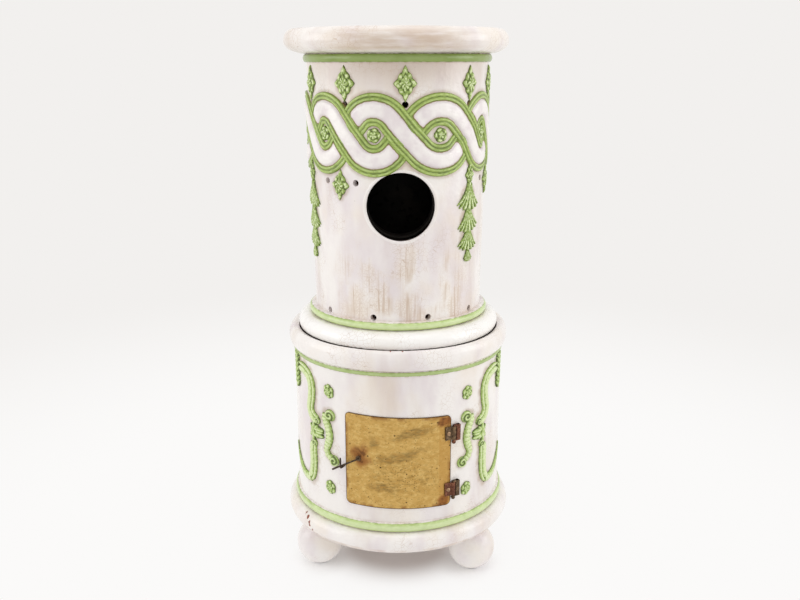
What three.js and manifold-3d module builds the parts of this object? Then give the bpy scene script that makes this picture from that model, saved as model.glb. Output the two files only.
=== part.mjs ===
// A small round two-drum stove of glazed faience: a low fire drum on three ball feet, with a
// curved brass fire door, and a tall narrower heating drum that stands in a recess on top of it.
// Millimetres, +Z up, the floor at z = 0, the front of the stove facing -Y.
// A bearing is an angle about the stove's axis in degrees: 0 faces the front, 90 the right side.

import * as THREE from 'three';
import { mergeVertices } from 'three/addons/utils/BufferGeometryUtils.js';
import Module from 'manifold-3d';

const wasm = await Module();
wasm.setup();

// ---------------------------------------------------------------- driving dimensions

const gap = 0.3; // clearance between two pieces that touch
const bury = 5; // how deep raised ornament is rooted in its wall
const bendShare = 0.8; // how near raised ornament comes to the centre of its own bends
const overcut = 5; // how far a cutting tool runs past the face that it cuts

// ball feet
const footR = 44;
const footFlat = 1.2; // depth of the flat that a foot stands on
const footCount = 3;
const footCircleR = 168;
const footBearing = -64;
const footNeckR = 24;
const tenonR = 13;
const tenonLength = 15;
const tenonEndGap = 2; // left above a tenon for the clay that beds it

// fire drum
const plinthZ = 88; // underside of the fire drum
const plinthHeight = 39;
const plinthBulge = 19.5; // how far the plinth stands out of the wall
const lowerBeadHeight = 18;
const lowerBeadBulge = 7;
const lowerWallR = 194.5;
const lowerWallHeight = 274;
const lowerWall = 20;
const floorThickness = 24;
const lineHeight = 9; // thin raised line under the flange
const lineBulge = 2.6;
const flangeHeight = 37;
const flangeBulge = 9.7;
const recessDepth = 7;
const recessR = 191.6;

// heating drum
const upperBaseR = 185.5;
const upperBaseHeight = 31.5;
const beadHeight = 15; // green beads at the foot and head of the heating drum
const beadBulge = 7.5;
const upperBottomR = 152.5;
const upperTopR = 159.5;
const upperWallHeight = 429.5;
const upperWall = 20;
const rimHeight = 41;
const rimBulge = 36.5;
const rimLandWidth = 16; // rounded top of the rim outside its flat
const lidSeatDepth = 25;
const lidSeatR = 150.5;

// holes of the heating drum
const flueHoleR = 59.5;
const flueBearing = 2;
const flueHeight = 197.5; // centre of the flue hole above the lower bead
const ventR = 5.5;
const lowVentCount = 10;
const lowVentBearing = 20;
const lowVentRise = 5.5;

// woven band (guilloche) on the heating drum
const bandRise = 315; // centre line above the lower bead
const crossings = 10;
const firstCrossing = -33;
const handLaid = [0, 1.5, 9.5, 3, 0, 0, 0, 0, 0, 2]; // how far each crossing strays, in degrees
const strandWidth = 54;
const strandSwing = 41.6; // from the band's centre line to a strand's crest
const strandHeight = 6;
const eyeR = 11;
const eyeHeight = 4;

// lozenges, vents and husk garlands beside the band
const lozengeWidth = 37;
const lozengeLength = 52;
const lozengeHeight = 4.5;
const topLozengeRise = 83; // centre above the band's centre line
const lowLozengeDrop = 84;
const topVentRise = 49;
const midVentDrop = 79;
const midVentSpread = 11.5; // degrees either side of a low lozenge
const lowLozengeWaist = 0.42; // where a low lozenge is widest, as a share of its length
const lowLozenges = [[0, -5], [3, 0], [5, 0], [6, 0], [8, 0]]; // crossing, and degrees it strays
const garlands = [[2, 2.5], [4, 0], [7, 0], [9, -3]]; // the flue hole takes the place at crossing 1
const garlandDrop = 57; // top of a garland below the band's centre line
const huskCount = 5;
const huskPitch = 29;
const huskLength = 33;
const huskWidth = 50;
const huskHeight = 5;
const huskBell = 0.75; // where a husk is widest, as a share of its length
const huskWidths = [0.25, 1, 0.6]; // at its head, its bell and its tips, as shares of its width

// ornament of the fire drum
const rosetteR = 9.5;
const rosetteHeight = 4;
const rosetteBearing = 39;
const rosetteTopRise = 248; // above the lower bead
const rosetteLowRise = 64;
const cartoucheBearing = 88;
const strapWidth = 13;
const strapHeight = 5;

// door and its opening
const doorBottomRise = 29.5; // above the lower bead
const doorHeight = 174;
const doorHalfAngle = 28.2;
const doorSag = 7; // the hinge side of the top edge is this much lower
const doorThickness = 1.6;
const doorGap = 0.7;
const doorLap = 10; // how far the sheet covers the wall round the opening
const doorCornerR = 9;

// hinges
const pinR = 1.8;
const eyeWall = 1.7;
const eyeClearance = 0.3;
const axisPlay = 0.6; // the door stands this much clear of the hinge eyes
const strapLeafWidth = 13;
const strapLeafHeight = 25;
const leafThickness = 2;
const leafBridgeLift = 0.2; // the bridge to the eye stands a little proud of the eye's middle
const topHingeDrop = 40.5; // hinge centre below the door's top
const lowHingeRise = 26.5;
const bracketWidth = 8;
const bracketTang = 14;
const tangSide = 6;
const lugThickness = 2;
const pinBallR = 3.6;
const rivetR = 2;
const rivetHeadR = 4;
const rivetHeadHeight = 2.4;

// latch
const latchBearing = -20.8;
const latchRise = 119.5; // above the lower bead
const wireR = 1.5;
const leverReach = 48.5;
const leverFall = 27; // how far the lever's end hangs below its pivot
const leverBend = 3.2; // bend between the lever and its shaft
const bushR = 4.8;
const bushNeck = 1; // the eyelet's neck is this much thinner than its flange
const bushTail = 1.5; // how far the neck stands out inside the sheet
const leverTail = 9; // how far the lever's shaft reaches inside the sheet
const leverStop = 6; // the shaft's collar, inside the sheet
const bushFlange = 1.2;
const catchBearing = -29.3;
const catchHeight = 20;
const catchRoot = 12; // how deep the hook is set in the wall

// firebox
const slabThickness = 25;
const brickCount = 6;
const brickGapBearing = 33; // half of the gap that the bricks leave at the door
const brickThickness = 28;
const brickLedge = 14; // extra thickness under the grate
const plateInset = 2; // the top plate stays this far inside the lining's outside
const ledgeHeight = 67;
const brickHeight = 302;
const brickJoint = 0.25; // half of the joint between two bricks, in degrees
const grateThickness = 10;
const grateSlots = 9;
const grateSlotWidth = 12;
const grateRim = 16;
const plateThickness = 6;
const throatR = 104;
const spigotHeight = 12;

// smoke chamber
const chamberR = 111.5;
const chamberWall = 1.8;
const chamberHeight = 458;
const capSkirt = 12;
const capThickness = 2;
const collarR = 58;
const collarWall = 2.6;
const collarLength = 28;
const collarSetback = 1.7; // flat end of the collar inside the drum's wall

// lid
const lidThickness = 10;
const knobR = 15;
const knobHeight = 14;

// facets round the large turned pieces, and round the small ones
const drumFacets = 40;
const innerFacets = 36;
const footFacets = 16;

// ---------------------------------------------------------------- heights that follow

const lowerBeadZ = plinthZ + plinthHeight;
const lowerWallZ = lowerBeadZ + lowerBeadHeight;
const lineZ = lowerWallZ + lowerWallHeight;
const flangeZ = lineZ + lineHeight;
const flangeTopZ = flangeZ + flangeHeight;
const recessZ = flangeTopZ - recessDepth;
const lowerInnerR = lowerWallR - lowerWall;

const upperZ = recessZ + gap;
const upperBeadZ = upperZ + upperBaseHeight;
const upperWallZ = upperBeadZ + beadHeight;
const topBeadZ = upperWallZ + upperWallHeight;
const rimZ = topBeadZ + beadHeight;
const rimTopZ = rimZ + rimHeight;
const lidSeatZ = rimTopZ - lidSeatDepth;
const bandZ = upperWallZ + bandRise;
const flueZ = upperWallZ + flueHeight;

const doorZ = lowerWallZ + doorBottomRise;
const doorTopZ = doorZ + doorHeight;
const doorR = lowerWallR + doorGap;
const doorOuterR = doorR + doorThickness;

// ---------------------------------------------------------------- materials

const glaze = new THREE.MeshStandardMaterial({ color: 0xe9e1dc, roughness: 0.28, metalness: 0 });
const firebrick = new THREE.MeshStandardMaterial({ color: 0xb88f6a, roughness: 0.95, metalness: 0 });
const castIron = new THREE.MeshStandardMaterial({ color: 0x2c2a29, roughness: 0.75, metalness: 0.6 });
const sheetIron = new THREE.MeshStandardMaterial({ color: 0x33302e, roughness: 0.6, metalness: 0.7 });
const brass = new THREE.MeshStandardMaterial({ color: 0xb08a3e, roughness: 0.45, metalness: 0.9 });
const bronze = new THREE.MeshStandardMaterial({ color: 0x6a4636, roughness: 0.5, metalness: 0.8 });
const wire = new THREE.MeshStandardMaterial({ color: 0x3d3326, roughness: 0.55, metalness: 0.8 });

// ---------------------------------------------------------------- solids and booleans

const radians = THREE.MathUtils.degToRad;

// Six times the signed volume: positive when the faces point out.
function signedVolume(positions, triangles) {
  const a = new THREE.Vector3();
  const b = new THREE.Vector3();
  const c = new THREE.Vector3();
  let sum = 0;
  for (let i = 0; i < triangles.length; i += 3) {
    a.fromArray(positions, triangles[i] * 3);
    b.fromArray(positions, triangles[i + 1] * 3);
    c.fromArray(positions, triangles[i + 2] * 3);
    sum += a.dot(b.cross(c));
  }
  return sum;
}

// Turns a closed geometry into a solid whose faces point out.
function solid(geometry) {
  const bare = geometry.clone();
  bare.deleteAttribute('normal');
  bare.deleteAttribute('uv');
  const merged = mergeVertices(bare, 1e-4);
  const positions = merged.attributes.position.array;
  const kept = [];
  const index = merged.index.array;
  for (let i = 0; i < index.length; i += 3) {
    const [a, b, c] = [index[i], index[i + 1], index[i + 2]];
    if (a !== b && b !== c && c !== a) kept.push(a, b, c);
  }
  if (signedVolume(positions, kept) < 0) kept.reverse();
  const mesh = new wasm.Mesh({
    numProp: 3,
    vertProperties: Float32Array.from(positions),
    triVerts: Uint32Array.from(kept),
  });
  return new wasm.Manifold(mesh);
}

function geometryOf(manifold) {
  const mesh = manifold.getMesh();
  const geometry = new THREE.BufferGeometry();
  geometry.setAttribute('position', new THREE.BufferAttribute(Float32Array.from(mesh.vertProperties), 3));
  geometry.setIndex(new THREE.BufferAttribute(Uint32Array.from(mesh.triVerts), 1));
  geometry.computeVertexNormals();
  return geometry;
}

// Joins a list of solids pair by pair, which keeps the cuts small.
function joinAll(solids) {
  let level = solids;
  while (level.length > 1) {
    const next = [];
    for (let i = 0; i < level.length; i += 2) {
      next.push(i + 1 < level.length ? level[i].add(level[i + 1]) : level[i]);
    }
    level = next;
  }
  return level[0];
}

// ---------------------------------------------------------------- basic shapes

// Revolves a closed profile of [radius, height] points about the Z axis.
function turned(profile, segments) {
  const points = profile.map(([r, z]) => new THREE.Vector2(Math.max(r, 0), z));
  const onAxis = profile[0][0] === 0;
  if (!onAxis) points.push(points[0].clone());
  return new THREE.LatheGeometry(points, segments).rotateX(Math.PI / 2);
}

// Points of an elliptical bulge that stands out of a wall, from its foot to its head.
function bulge(wallR, z, height, depth, steps) {
  const points = [];
  for (let i = 0; i <= steps; i += 1) {
    const turn = Math.PI * (i / steps - 0.5);
    points.push([wallR + depth * Math.cos(turn), z + (height / 2) * (1 + Math.sin(turn))]);
  }
  return points;
}

function box(width, depth, height, x, y, z) {
  return new THREE.BoxGeometry(width, depth, height).translate(x, y, z);
}

// A cylinder along Z from z to z + height.
function post(radius, height, x, y, z, sides = 12) {
  const geometry = new THREE.CylinderGeometry(radius, radius, height, sides).rotateX(Math.PI / 2);
  return geometry.translate(x, y, z + height / 2);
}

// A cylinder along the radius at a bearing, from radius r1 to radius r2.
function spoke(radius, bearing, z, r1, r2, sides = 12) {
  const geometry = new THREE.CylinderGeometry(radius, radius, r2 - r1, sides);
  geometry.translate(0, -(r1 + r2) / 2, z);
  return geometry.rotateZ(radians(bearing));
}

// A round wire along a smooth curve through the given points.
function wireAlong(points, radius, sides, steps) {
  const circle = new THREE.Shape().absarc(0, 0, radius, 0, Math.PI * 2);
  const shape = new THREE.Shape(circle.getPoints(sides / 4).slice(0, sides));
  const curve = new THREE.CatmullRomCurve3(points, false, 'centripetal');
  return new THREE.ExtrudeGeometry(shape, { extrudePath: curve, steps, bevelEnabled: false });
}

// A slab between two radii and two bearings.
function sector(innerR, outerR, from, to, z, height, steps) {
  const shape = new THREE.Shape();
  for (let i = 0; i <= steps; i += 1) {
    const turn = radians(from + ((to - from) * i) / steps);
    const point = [outerR * Math.sin(turn), -outerR * Math.cos(turn)];
    if (i === 0) shape.moveTo(...point);
    else shape.lineTo(...point);
  }
  for (let i = steps; i >= 0; i -= 1) {
    const turn = radians(from + ((to - from) * i) / steps);
    shape.lineTo(innerR * Math.sin(turn), -innerR * Math.cos(turn));
  }
  const geometry = new THREE.ExtrudeGeometry(shape, { depth: height, bevelEnabled: false });
  return geometry.translate(0, 0, z);
}

// ---------------------------------------------------------------- raised ornament

// Sweeps a section along a path laid on a drum's wall. The path is a list of
// { bearing, z }, the section a list of [offset, height], and taper gives the
// section's width and height along the path as shares of one. On the inside of a bend the
// section stops short of the bend's centre, so that it doesn't fold over itself.
function relief(path, section, wallAt, taper = () => [1, 1]) {
  const positions = [];
  const rings = path.length;
  const size = section.length + 2;
  const deep = [[section[0][0], -bury], ...section, [section[section.length - 1][0], -bury]];
  for (let i = 0; i < rings; i += 1) {
    const here = path[i];
    const before = path[Math.max(i - 1, 0)];
    const after = path[Math.min(i + 1, rings - 1)];
    const wallR = wallAt(here.z);
    const step = (a, b) => new THREE.Vector2(radians(b.bearing - a.bearing) * wallR, b.z - a.z);
    const along = step(before, after).normalize();
    const [into, out] = [step(before, here), step(here, after)];
    const bend = Math.atan2(into.cross(out), into.dot(out));
    const room = (bendShare * (into.length() + out.length())) / 2 / Math.max(Math.abs(bend), 1e-6);
    const [wide, high] = taper(i / (rings - 1));
    for (const [offset, height] of deep) {
      const full = offset * wide;
      const side = full * bend > 0 ? Math.sign(full) * Math.min(Math.abs(full), room) : full;
      const z = here.z + along.x * side;
      const turn = radians(here.bearing) - (along.y * side) / wallR;
      const r = wallAt(z) + (height > 0 ? height * high : height);
      positions.push(r * Math.sin(turn), -r * Math.cos(turn), z);
    }
  }
  const index = [];
  for (let i = 0; i + 1 < rings; i += 1) {
    for (let j = 0; j < size; j += 1) {
      const a = i * size + j;
      const b = i * size + ((j + 1) % size);
      index.push(a, b, a + size, b, b + size, a + size);
    }
  }
  const outline = deep.map(([offset, height]) => new THREE.Vector2(offset, height));
  const last = (rings - 1) * size;
  for (const [a, b, c] of THREE.ShapeUtils.triangulateShape(outline, [])) {
    index.push(a, c, b, last + a, last + b, last + c);
  }
  const geometry = new THREE.BufferGeometry();
  geometry.setAttribute('position', new THREE.Float32BufferAttribute(positions, 3));
  geometry.setIndex(index);
  return geometry;
}

// A low dome with a wavy rim, such as a rosette.
function rosette(bearing, z, radius, height, wallAt, petals = 4) {
  const around = petals * 2;
  const levels = [[0, -bury], [1, -bury], [1, 0.5 * height], [0, height]];
  const positions = [];
  for (const [share, rise] of levels) {
    const count = share === 0 ? 1 : around;
    for (let i = 0; i < count; i += 1) {
      const turn = (i / around) * Math.PI * 2;
      const reach = radius * share * (i % 2 === 0 ? 1 : 0.8);
      const pz = z + reach * Math.sin(turn);
      const side = radians(bearing) + (reach * Math.cos(turn)) / wallAt(z);
      const r = wallAt(pz) + rise;
      positions.push(r * Math.sin(side), -r * Math.cos(side), pz);
    }
  }
  const index = [];
  const top = positions.length / 3 - 1;
  for (let i = 0; i < around; i += 1) {
    const next = (i + 1) % around;
    index.push(0, 1 + next, 1 + i);
    const low = 1;
    const high = 1 + around;
    index.push(low + i, low + next, high + i, low + next, high + next, high + i);
    index.push(high + i, high + next, top);
  }
  const geometry = new THREE.BufferGeometry();
  geometry.setAttribute('position', new THREE.Float32BufferAttribute(positions, 3));
  geometry.setIndex(index);
  return geometry;
}

// A pointed leaf or lozenge that stands upright, widest at the given share of its length.
function leaf(bearing, z, width, length, height, wallAt, waist = 0.5) {
  const path = [0, waist, 1].map((share) => ({ bearing, z: z + length * (0.5 - share) }));
  const section = [[width / 2, 0.3 * height], [0, height], [-width / 2, 0.3 * height]];
  return relief(path, section, wallAt, (share) => (share === 0.5 ? [1, 1] : [0.06, 0.4]));
}

// One bell-shaped husk of a garland, hanging from z.
function husk(bearing, z, width, wallAt) {
  const path = [0, huskBell, 1].map((share) => ({ bearing, z: z - huskLength * share }));
  const section = [[width / 2, 0.35 * huskHeight], [0, huskHeight], [-width / 2, 0.35 * huskHeight]];
  return relief(path, section, wallAt, (share) => [huskWidths[Math.round(share * 2)], 1]);
}

// ---------------------------------------------------------------- fire drum

const lowerWallAt = () => lowerWallR;

function lowerDrumProfile() {
  return [
    [0, plinthZ],
    ...bulge(lowerWallR, plinthZ, plinthHeight, plinthBulge, 6),
    ...bulge(lowerWallR, lowerBeadZ, lowerBeadHeight, lowerBeadBulge, 3),
    ...bulge(lowerWallR, lineZ, lineHeight, lineBulge, 3),
    ...bulge(lowerWallR, flangeZ, flangeHeight, flangeBulge, 5),
    [recessR, flangeTopZ],
    [recessR, recessZ],
    [lowerInnerR, recessZ],
    [lowerInnerR, plinthZ + floorThickness],
    [0, plinthZ + floorThickness],
  ].filter(([r, z], i, all) => i === 0 || Math.hypot(r - all[i - 1][0], z - all[i - 1][1]) > 0.01);
}

// A sheet with rounded corners whose hinge side may sag, as an outline of [across, up].
function doorOutline(halfWidth, bottom, top, sag, cornerR) {
  const corners = [
    [halfWidth, bottom - sag * 0.6, 0],
    [halfWidth, top - sag, 1],
    [-halfWidth, top, 2],
    [-halfWidth, bottom, 3],
  ];
  const points = [];
  for (const [x, z, quarter] of corners) {
    const inX = x - Math.sign(x) * cornerR;
    const inZ = z + (quarter === 0 || quarter === 3 ? cornerR : -cornerR);
    for (let i = 0; i <= 3; i += 1) {
      const turn = (Math.PI / 2) * (quarter - 1 + i / 3);
      points.push([inX + cornerR * Math.cos(turn), inZ + cornerR * Math.sin(turn)]);
    }
  }
  return points;
}

// The strapwork of one half of a cartouche, on the side of its axis given by the sign.
function cartoucheHalf(side) {
  const at = (bearing, rise) => ({ bearing: side * bearing, z: lowerBeadZ + rise });
  const inner = (share) => 2 * cartoucheBearing - share;
  const halves = [];
  const strip = [
    [strapWidth / 2, 0.3 * strapHeight],
    [0, strapHeight],
    [-strapWidth / 2, 0.3 * strapHeight],
  ];
  const ends = (share) => {
    const edge = Math.min(1, 0.35 + 4 * Math.min(share, 1 - share));
    return [edge, edge];
  };
  for (const fold of [(bearing) => bearing, inner]) {
    const place = (bearing, rise) => at(fold(bearing), rise);
    const curve = (points, steps) => {
      const smooth = new THREE.CatmullRomCurve3(points.map(([b, r]) => new THREE.Vector3(b, r, 0)));
      return smooth.getPoints(steps).map((point) => place(point.x, point.y));
    };
    const upper = curve([[68, 268], [60, 266], [53, 250], [51.5, 222], [53, 198], [49, 186]], 7);
    const lower = curve([[51.5, 140], [51.5, 105], [53, 76], [62, 65], [70, 82], [77, 102]], 7);
    const scroll = curve([[36, 196], [40.5, 205], [41, 190], [38, 165], [41, 140], [38, 121], [34, 118]], 8);
    halves.push(relief(upper, strip, lowerWallAt, ends));
    halves.push(relief(lower, strip, lowerWallAt, ends));
    halves.push(relief(scroll, strip, lowerWallAt, ends));
    const knot = place(50, 160);
    halves.push(rosette(knot.bearing, knot.z, strapWidth, strapHeight, lowerWallAt));
    const frond = place(70, 262);
    halves.push(leaf(frond.bearing, frond.z, strapWidth * 1.4, 66, strapHeight, lowerWallAt));
    for (const rise of [rosetteTopRise, rosetteLowRise]) {
      const flower = place(rosetteBearing, rise);
      halves.push(rosette(flower.bearing, flower.z, rosetteR, rosetteHeight, lowerWallAt));
    }
  }
  return halves;
}

const footPlaces = [];
for (let i = 0; i < footCount; i += 1) {
  const turn = radians(footBearing + (360 / footCount) * i);
  footPlaces.push(new THREE.Vector2(footCircleR * Math.sin(turn), -footCircleR * Math.cos(turn)));
}

// Places shared by the hinges, the latch and the holes that they need in the wall.
const halfWidthOf = (bearing, radius) => radians(bearing) * radius;
const hingeEyeR = pinR + eyeClearance + eyeWall;
const hingeAxisR = lowerWallR + doorGap + hingeEyeR;
const hingeBearing = doorHalfAngle + THREE.MathUtils.radToDeg((hingeEyeR + axisPlay) / hingeAxisR);
const hingeHeights = [doorTopZ - topHingeDrop, doorZ + lowHingeRise];
const latchZ = lowerWallZ + latchRise;
const bushFaceR = doorOuterR + gap + bushFlange;
const leverPlaneR = bushFaceR + leverBend + gap;
const leverSlope = leverFall / leverReach;
const catchAcross = leverPlaneR * Math.tan(radians(latchBearing - catchBearing));
const catchR = leverPlaneR / Math.cos(radians(latchBearing - catchBearing)) + 2 * wireR + 2 * gap;
const catchLowZ = latchZ - catchAcross * leverSlope - 2 * wireR * Math.hypot(1, leverSlope) - gap;
const bracketAcross = hingeEyeR + 2 * gap + bracketWidth / 2;

function buildLowerDrum() {
  let drum = solid(turned(lowerDrumProfile(), drumFacets));
  const ornament = [...cartoucheHalf(1), ...cartoucheHalf(-1)].map(solid);
  drum = drum.add(joinAll(ornament));
  const half = halfWidthOf(doorHalfAngle, doorR) - doorLap;
  const opening = doorOutline(half, doorZ + doorLap, doorTopZ - doorLap, doorSag, doorCornerR);
  drum = drum.subtract(cutterFor(opening, doorR));
  const tenonHole = tenonLength + tenonEndGap + overcut;
  for (const place of footPlaces) {
    const hole = post(tenonR + gap, tenonHole, place.x, place.y, plinthZ - overcut, footFacets);
    drum = drum.subtract(solid(hole));
  }
  const socketSide = tangSide + 2 * gap;
  const socketY = -lowerWallR + (bracketTang - overcut) / 2 + gap;
  for (const z of hingeHeights) {
    const socket = box(socketSide, bracketTang + overcut, socketSide, bracketAcross, socketY, z);
    drum = drum.subtract(solid(socket.rotateZ(radians(hingeBearing))));
  }
  const catchHoleR = lowerWallR - catchRoot - 2 * gap;
  drum = drum.subtract(solid(spoke(wireR + gap, catchBearing, catchLowZ, catchHoleR, lowerWallR + overcut)));
  return geometryOf(drum);
}

function buildFoot() {
  const centreZ = footR - footFlat;
  const start = Math.acos(1 - footFlat / footR);
  const end = Math.PI - Math.asin(footNeckR / footR);
  const profile = [[0, 0]];
  for (let i = 0; i <= 7; i += 1) {
    const turn = start + ((end - start) * i) / 7;
    profile.push([footR * Math.sin(turn), centreZ - footR * Math.cos(turn)]);
  }
  profile.push([footNeckR, plinthZ - gap], [tenonR, plinthZ - gap]);
  profile.push([tenonR, plinthZ + tenonLength], [0, plinthZ + tenonLength]);
  return geometryOf(solid(turned(profile, footFacets)));
}

// ---------------------------------------------------------------- firebox

const slabZ = plinthZ + floorThickness + gap;
const brickZ = slabZ + slabThickness + gap;
const brickOuterR = lowerInnerR - 2 * gap;
const brickInnerR = brickOuterR - brickThickness;
const grateZ = brickZ + ledgeHeight + gap;
const grateR = brickInnerR - 3 * gap;
const plateZ = brickZ + brickHeight + gap;
const plateTopZ = plateZ + plateThickness;

function buildSlab() {
  const top = slabZ + slabThickness;
  const profile = [[0, slabZ], [brickOuterR, slabZ], [brickOuterR, top], [0, top]];
  return geometryOf(solid(turned(profile, innerFacets)));
}

function buildBrick(i) {
  const span = (360 - 2 * brickGapBearing) / brickCount;
  const from = brickGapBearing + span * i + brickJoint;
  const to = brickGapBearing + span * (i + 1) - brickJoint;
  const wallPart = sector(brickInnerR, brickOuterR, from, to, brickZ, brickHeight, 6);
  const ledgePart = sector(brickInnerR - brickLedge, brickInnerR + 1, from, to, brickZ, ledgeHeight, 6);
  return geometryOf(solid(wallPart).add(solid(ledgePart)));
}

function buildGrate() {
  let grate = solid(post(grateR, grateThickness, 0, 0, grateZ, innerFacets));
  const pitch = (2 * (grateR - grateRim)) / grateSlots;
  for (let i = 0; i < grateSlots; i += 1) {
    const x = pitch * (i - (grateSlots - 1) / 2);
    const reach = Math.sqrt((grateR - grateRim) ** 2 - (Math.abs(x) + grateSlotWidth / 2) ** 2);
    if (Number.isFinite(reach)) {
      const slot = box(grateSlotWidth, 2 * reach, 3 * grateThickness, x, 0, grateZ + grateThickness / 2);
      grate = grate.subtract(solid(slot));
    }
  }
  return geometryOf(grate);
}

function buildPlate() {
  const spigotR = chamberR - chamberWall - 2 * gap;
  const profile = [
    [throatR, plateZ],
    [brickOuterR - plateInset, plateZ],
    [brickOuterR - plateInset, plateTopZ],
    [spigotR, plateTopZ],
    [spigotR, plateTopZ + spigotHeight],
    [throatR, plateTopZ + spigotHeight],
  ];
  return geometryOf(solid(turned(profile, innerFacets)));
}

// ---------------------------------------------------------------- door, hinges and latch

// An outline of [along the arc, up] as a solid that is cut straight back through the drum.
function cutterFor(outline, radius) {
  const shape = new THREE.Shape();
  outline.forEach(([across, z], i) => {
    const x = radius * Math.sin(across / radius);
    if (i === 0) shape.moveTo(x, z);
    else shape.lineTo(x, z);
  });
  const depth = lowerWallR + plinthBulge;
  return solid(new THREE.ExtrudeGeometry(shape, { depth, bevelEnabled: false }).rotateX(Math.PI / 2));
}

// The sheet is a part of a tube round the drum, trimmed to the door's outline.
function buildDoorPanel() {
  const half = halfWidthOf(doorHalfAngle, doorR);
  const outline = doorOutline(half, doorZ, doorTopZ, doorSag, doorCornerR);
  const reach = doorHalfAngle + overcut;
  const tube = sector(doorR, doorOuterR, -reach, reach, doorZ - doorSag, doorHeight + 2 * doorSag, 14);
  let sheet = solid(tube).intersect(cutterFor(outline, doorR));
  const [from, to] = [doorR - overcut, doorOuterR + overcut];
  for (const z of hingeHeights) {
    sheet = sheet.subtract(solid(spoke(rivetR + gap, rivetBearing, z, from, to)));
  }
  sheet = sheet.subtract(solid(spoke(bushR - bushNeck, latchBearing, latchZ, from, to)));
  return geometryOf(sheet);
}

const leafR = doorOuterR + gap; // back of a hinge leaf
const leafBack = leafR + gap; // a flat leaf on a round door stands off at its middle
const leafTop = leafBack + leafThickness;
const leafMiddle = strapLeafWidth / 2 + gap; // from the eye to the rivet
const rivetBearing = hingeBearing - THREE.MathUtils.radToDeg((hingeEyeR + leafMiddle) / leafR);

// The moving half of a hinge: a leaf on the door and the eye that turns on the pin.
function buildHingeLeaf(z) {
  const low = z - strapLeafHeight / 2;
  const eye = solid(post(hingeEyeR, strapLeafHeight, 0, -hingeAxisR, low));
  const bore = solid(post(pinR + eyeClearance, strapLeafHeight + 2 * overcut, 0, -hingeAxisR, low - overcut));
  const across = strapLeafWidth - 2 * gap;
  const plate = box(across, leafThickness, strapLeafHeight, 0, -leafBack - leafThickness / 2, z);
  const bridgeX = -hingeEyeR * 0.75;
  const bridge = box(hingeEyeR, leafThickness, strapLeafHeight, bridgeX, -hingeAxisR - leafBridgeLift, z);
  const hole = spoke(rivetR + gap, rivetBearing - hingeBearing, z, leafR - overcut, leafTop + overcut);
  const turnedPlate = solid(plate.rotateZ(radians(rivetBearing - hingeBearing)));
  return geometryOf(eye.add(turnedPlate).add(solid(bridge)).subtract(bore).subtract(solid(hole)));
}

// The fixed half: the pin with its ball end, two lugs, and a bracket tanged into the wall.
function buildHingeBracket(z) {
  const half = strapLeafHeight / 2;
  const reach = bracketAcross + bracketWidth / 2 + pinR;
  const tall = strapLeafHeight + 2 * gap + 2 * lugThickness;
  const low = z - half - gap - lugThickness;
  const parts = [
    post(pinR, tall, 0, -hingeAxisR, low),
    new THREE.SphereGeometry(pinBallR, 8, 6).translate(0, -hingeAxisR, low - pinBallR * 0.7),
  ];
  for (const side of [-1, 1]) {
    const lugZ = z + side * (half + gap + lugThickness / 2);
    parts.push(box(reach, 2 * pinR + 2, lugThickness, reach / 2 - pinR, -hingeAxisR, lugZ));
  }
  const backR = lowerWallR + gap;
  const deep = hingeAxisR + pinR + 1 - backR;
  parts.push(box(bracketWidth, deep, tall, bracketAcross, -backR - deep / 2, z));
  const tangY = -backR - 1 + bracketTang / 2 + gap;
  parts.push(box(tangSide, bracketTang, tangSide, bracketAcross, tangY, z));
  return geometryOf(joinAll(parts.map(solid)));
}

// A rivet that is set flush inside the sheet and has a domed head outside.
function buildRivet(z) {
  const seat = leafTop + gap;
  const sunk = 0.5; // how far the shank runs into the head
  const dome = new THREE.SphereGeometry(rivetHeadR, 10, 6).scale(1, rivetHeadHeight / rivetHeadR, 1);
  const side = 4 * rivetHeadR;
  const head = solid(dome).subtract(solid(box(side, side, side, 0, side / 2, 0)));
  const moved = geometryOf(head).translate(0, -seat, z);
  const shank = post(rivetR, seat - doorR + sunk, 0, 0, 0).rotateX(Math.PI / 2).translate(0, -doorR, z);
  return geometryOf(solid(moved).add(solid(shank)));
}

// A brass eyelet in the door that the latch turns in.
function buildLatchBush() {
  const bore = wireR + 2 * gap;
  const neckR = bushR - bushNeck - gap;
  const profile = [
    [bore, doorR - bushTail],
    [neckR, doorR - bushTail],
    [neckR, doorOuterR + gap],
    [bushR, doorOuterR + gap],
    [bushR, bushFaceR],
    [bore, bushFaceR],
  ];
  const geometry = turned(profile, 12).rotateX(Math.PI / 2).translate(0, 0, latchZ);
  return geometryOf(solid(geometry));
}

// The bent wire lever: a shaft through the bush with a flattened end, and the lever outside.
function buildLatchLever() {
  const along = (reach) => latchZ - reach * leverSlope;
  const bend = leverBend;
  const points = [
    new THREE.Vector3(0, -(doorR - leverTail), latchZ),
    new THREE.Vector3(0, -doorR, latchZ),
    new THREE.Vector3(0, -bushFaceR, latchZ),
    new THREE.Vector3(-bend * 0.3, -(leverPlaneR - bend * 0.3), along(bend * 0.3)),
    new THREE.Vector3(-bend, -leverPlaneR, along(bend)),
    new THREE.Vector3(-leverReach / 2, -leverPlaneR, along(leverReach / 2)),
    new THREE.Vector3(-leverReach, -leverPlaneR, along(leverReach)),
  ];
  const rod = solid(wireAlong(points, wireR, 8, 12));
  const stop = post(2 * wireR, 2, 0, 0, 0).rotateX(Math.PI / 2).translate(0, -(doorR - leverStop), latchZ);
  return geometryOf(rod.add(solid(stop)));
}

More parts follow.
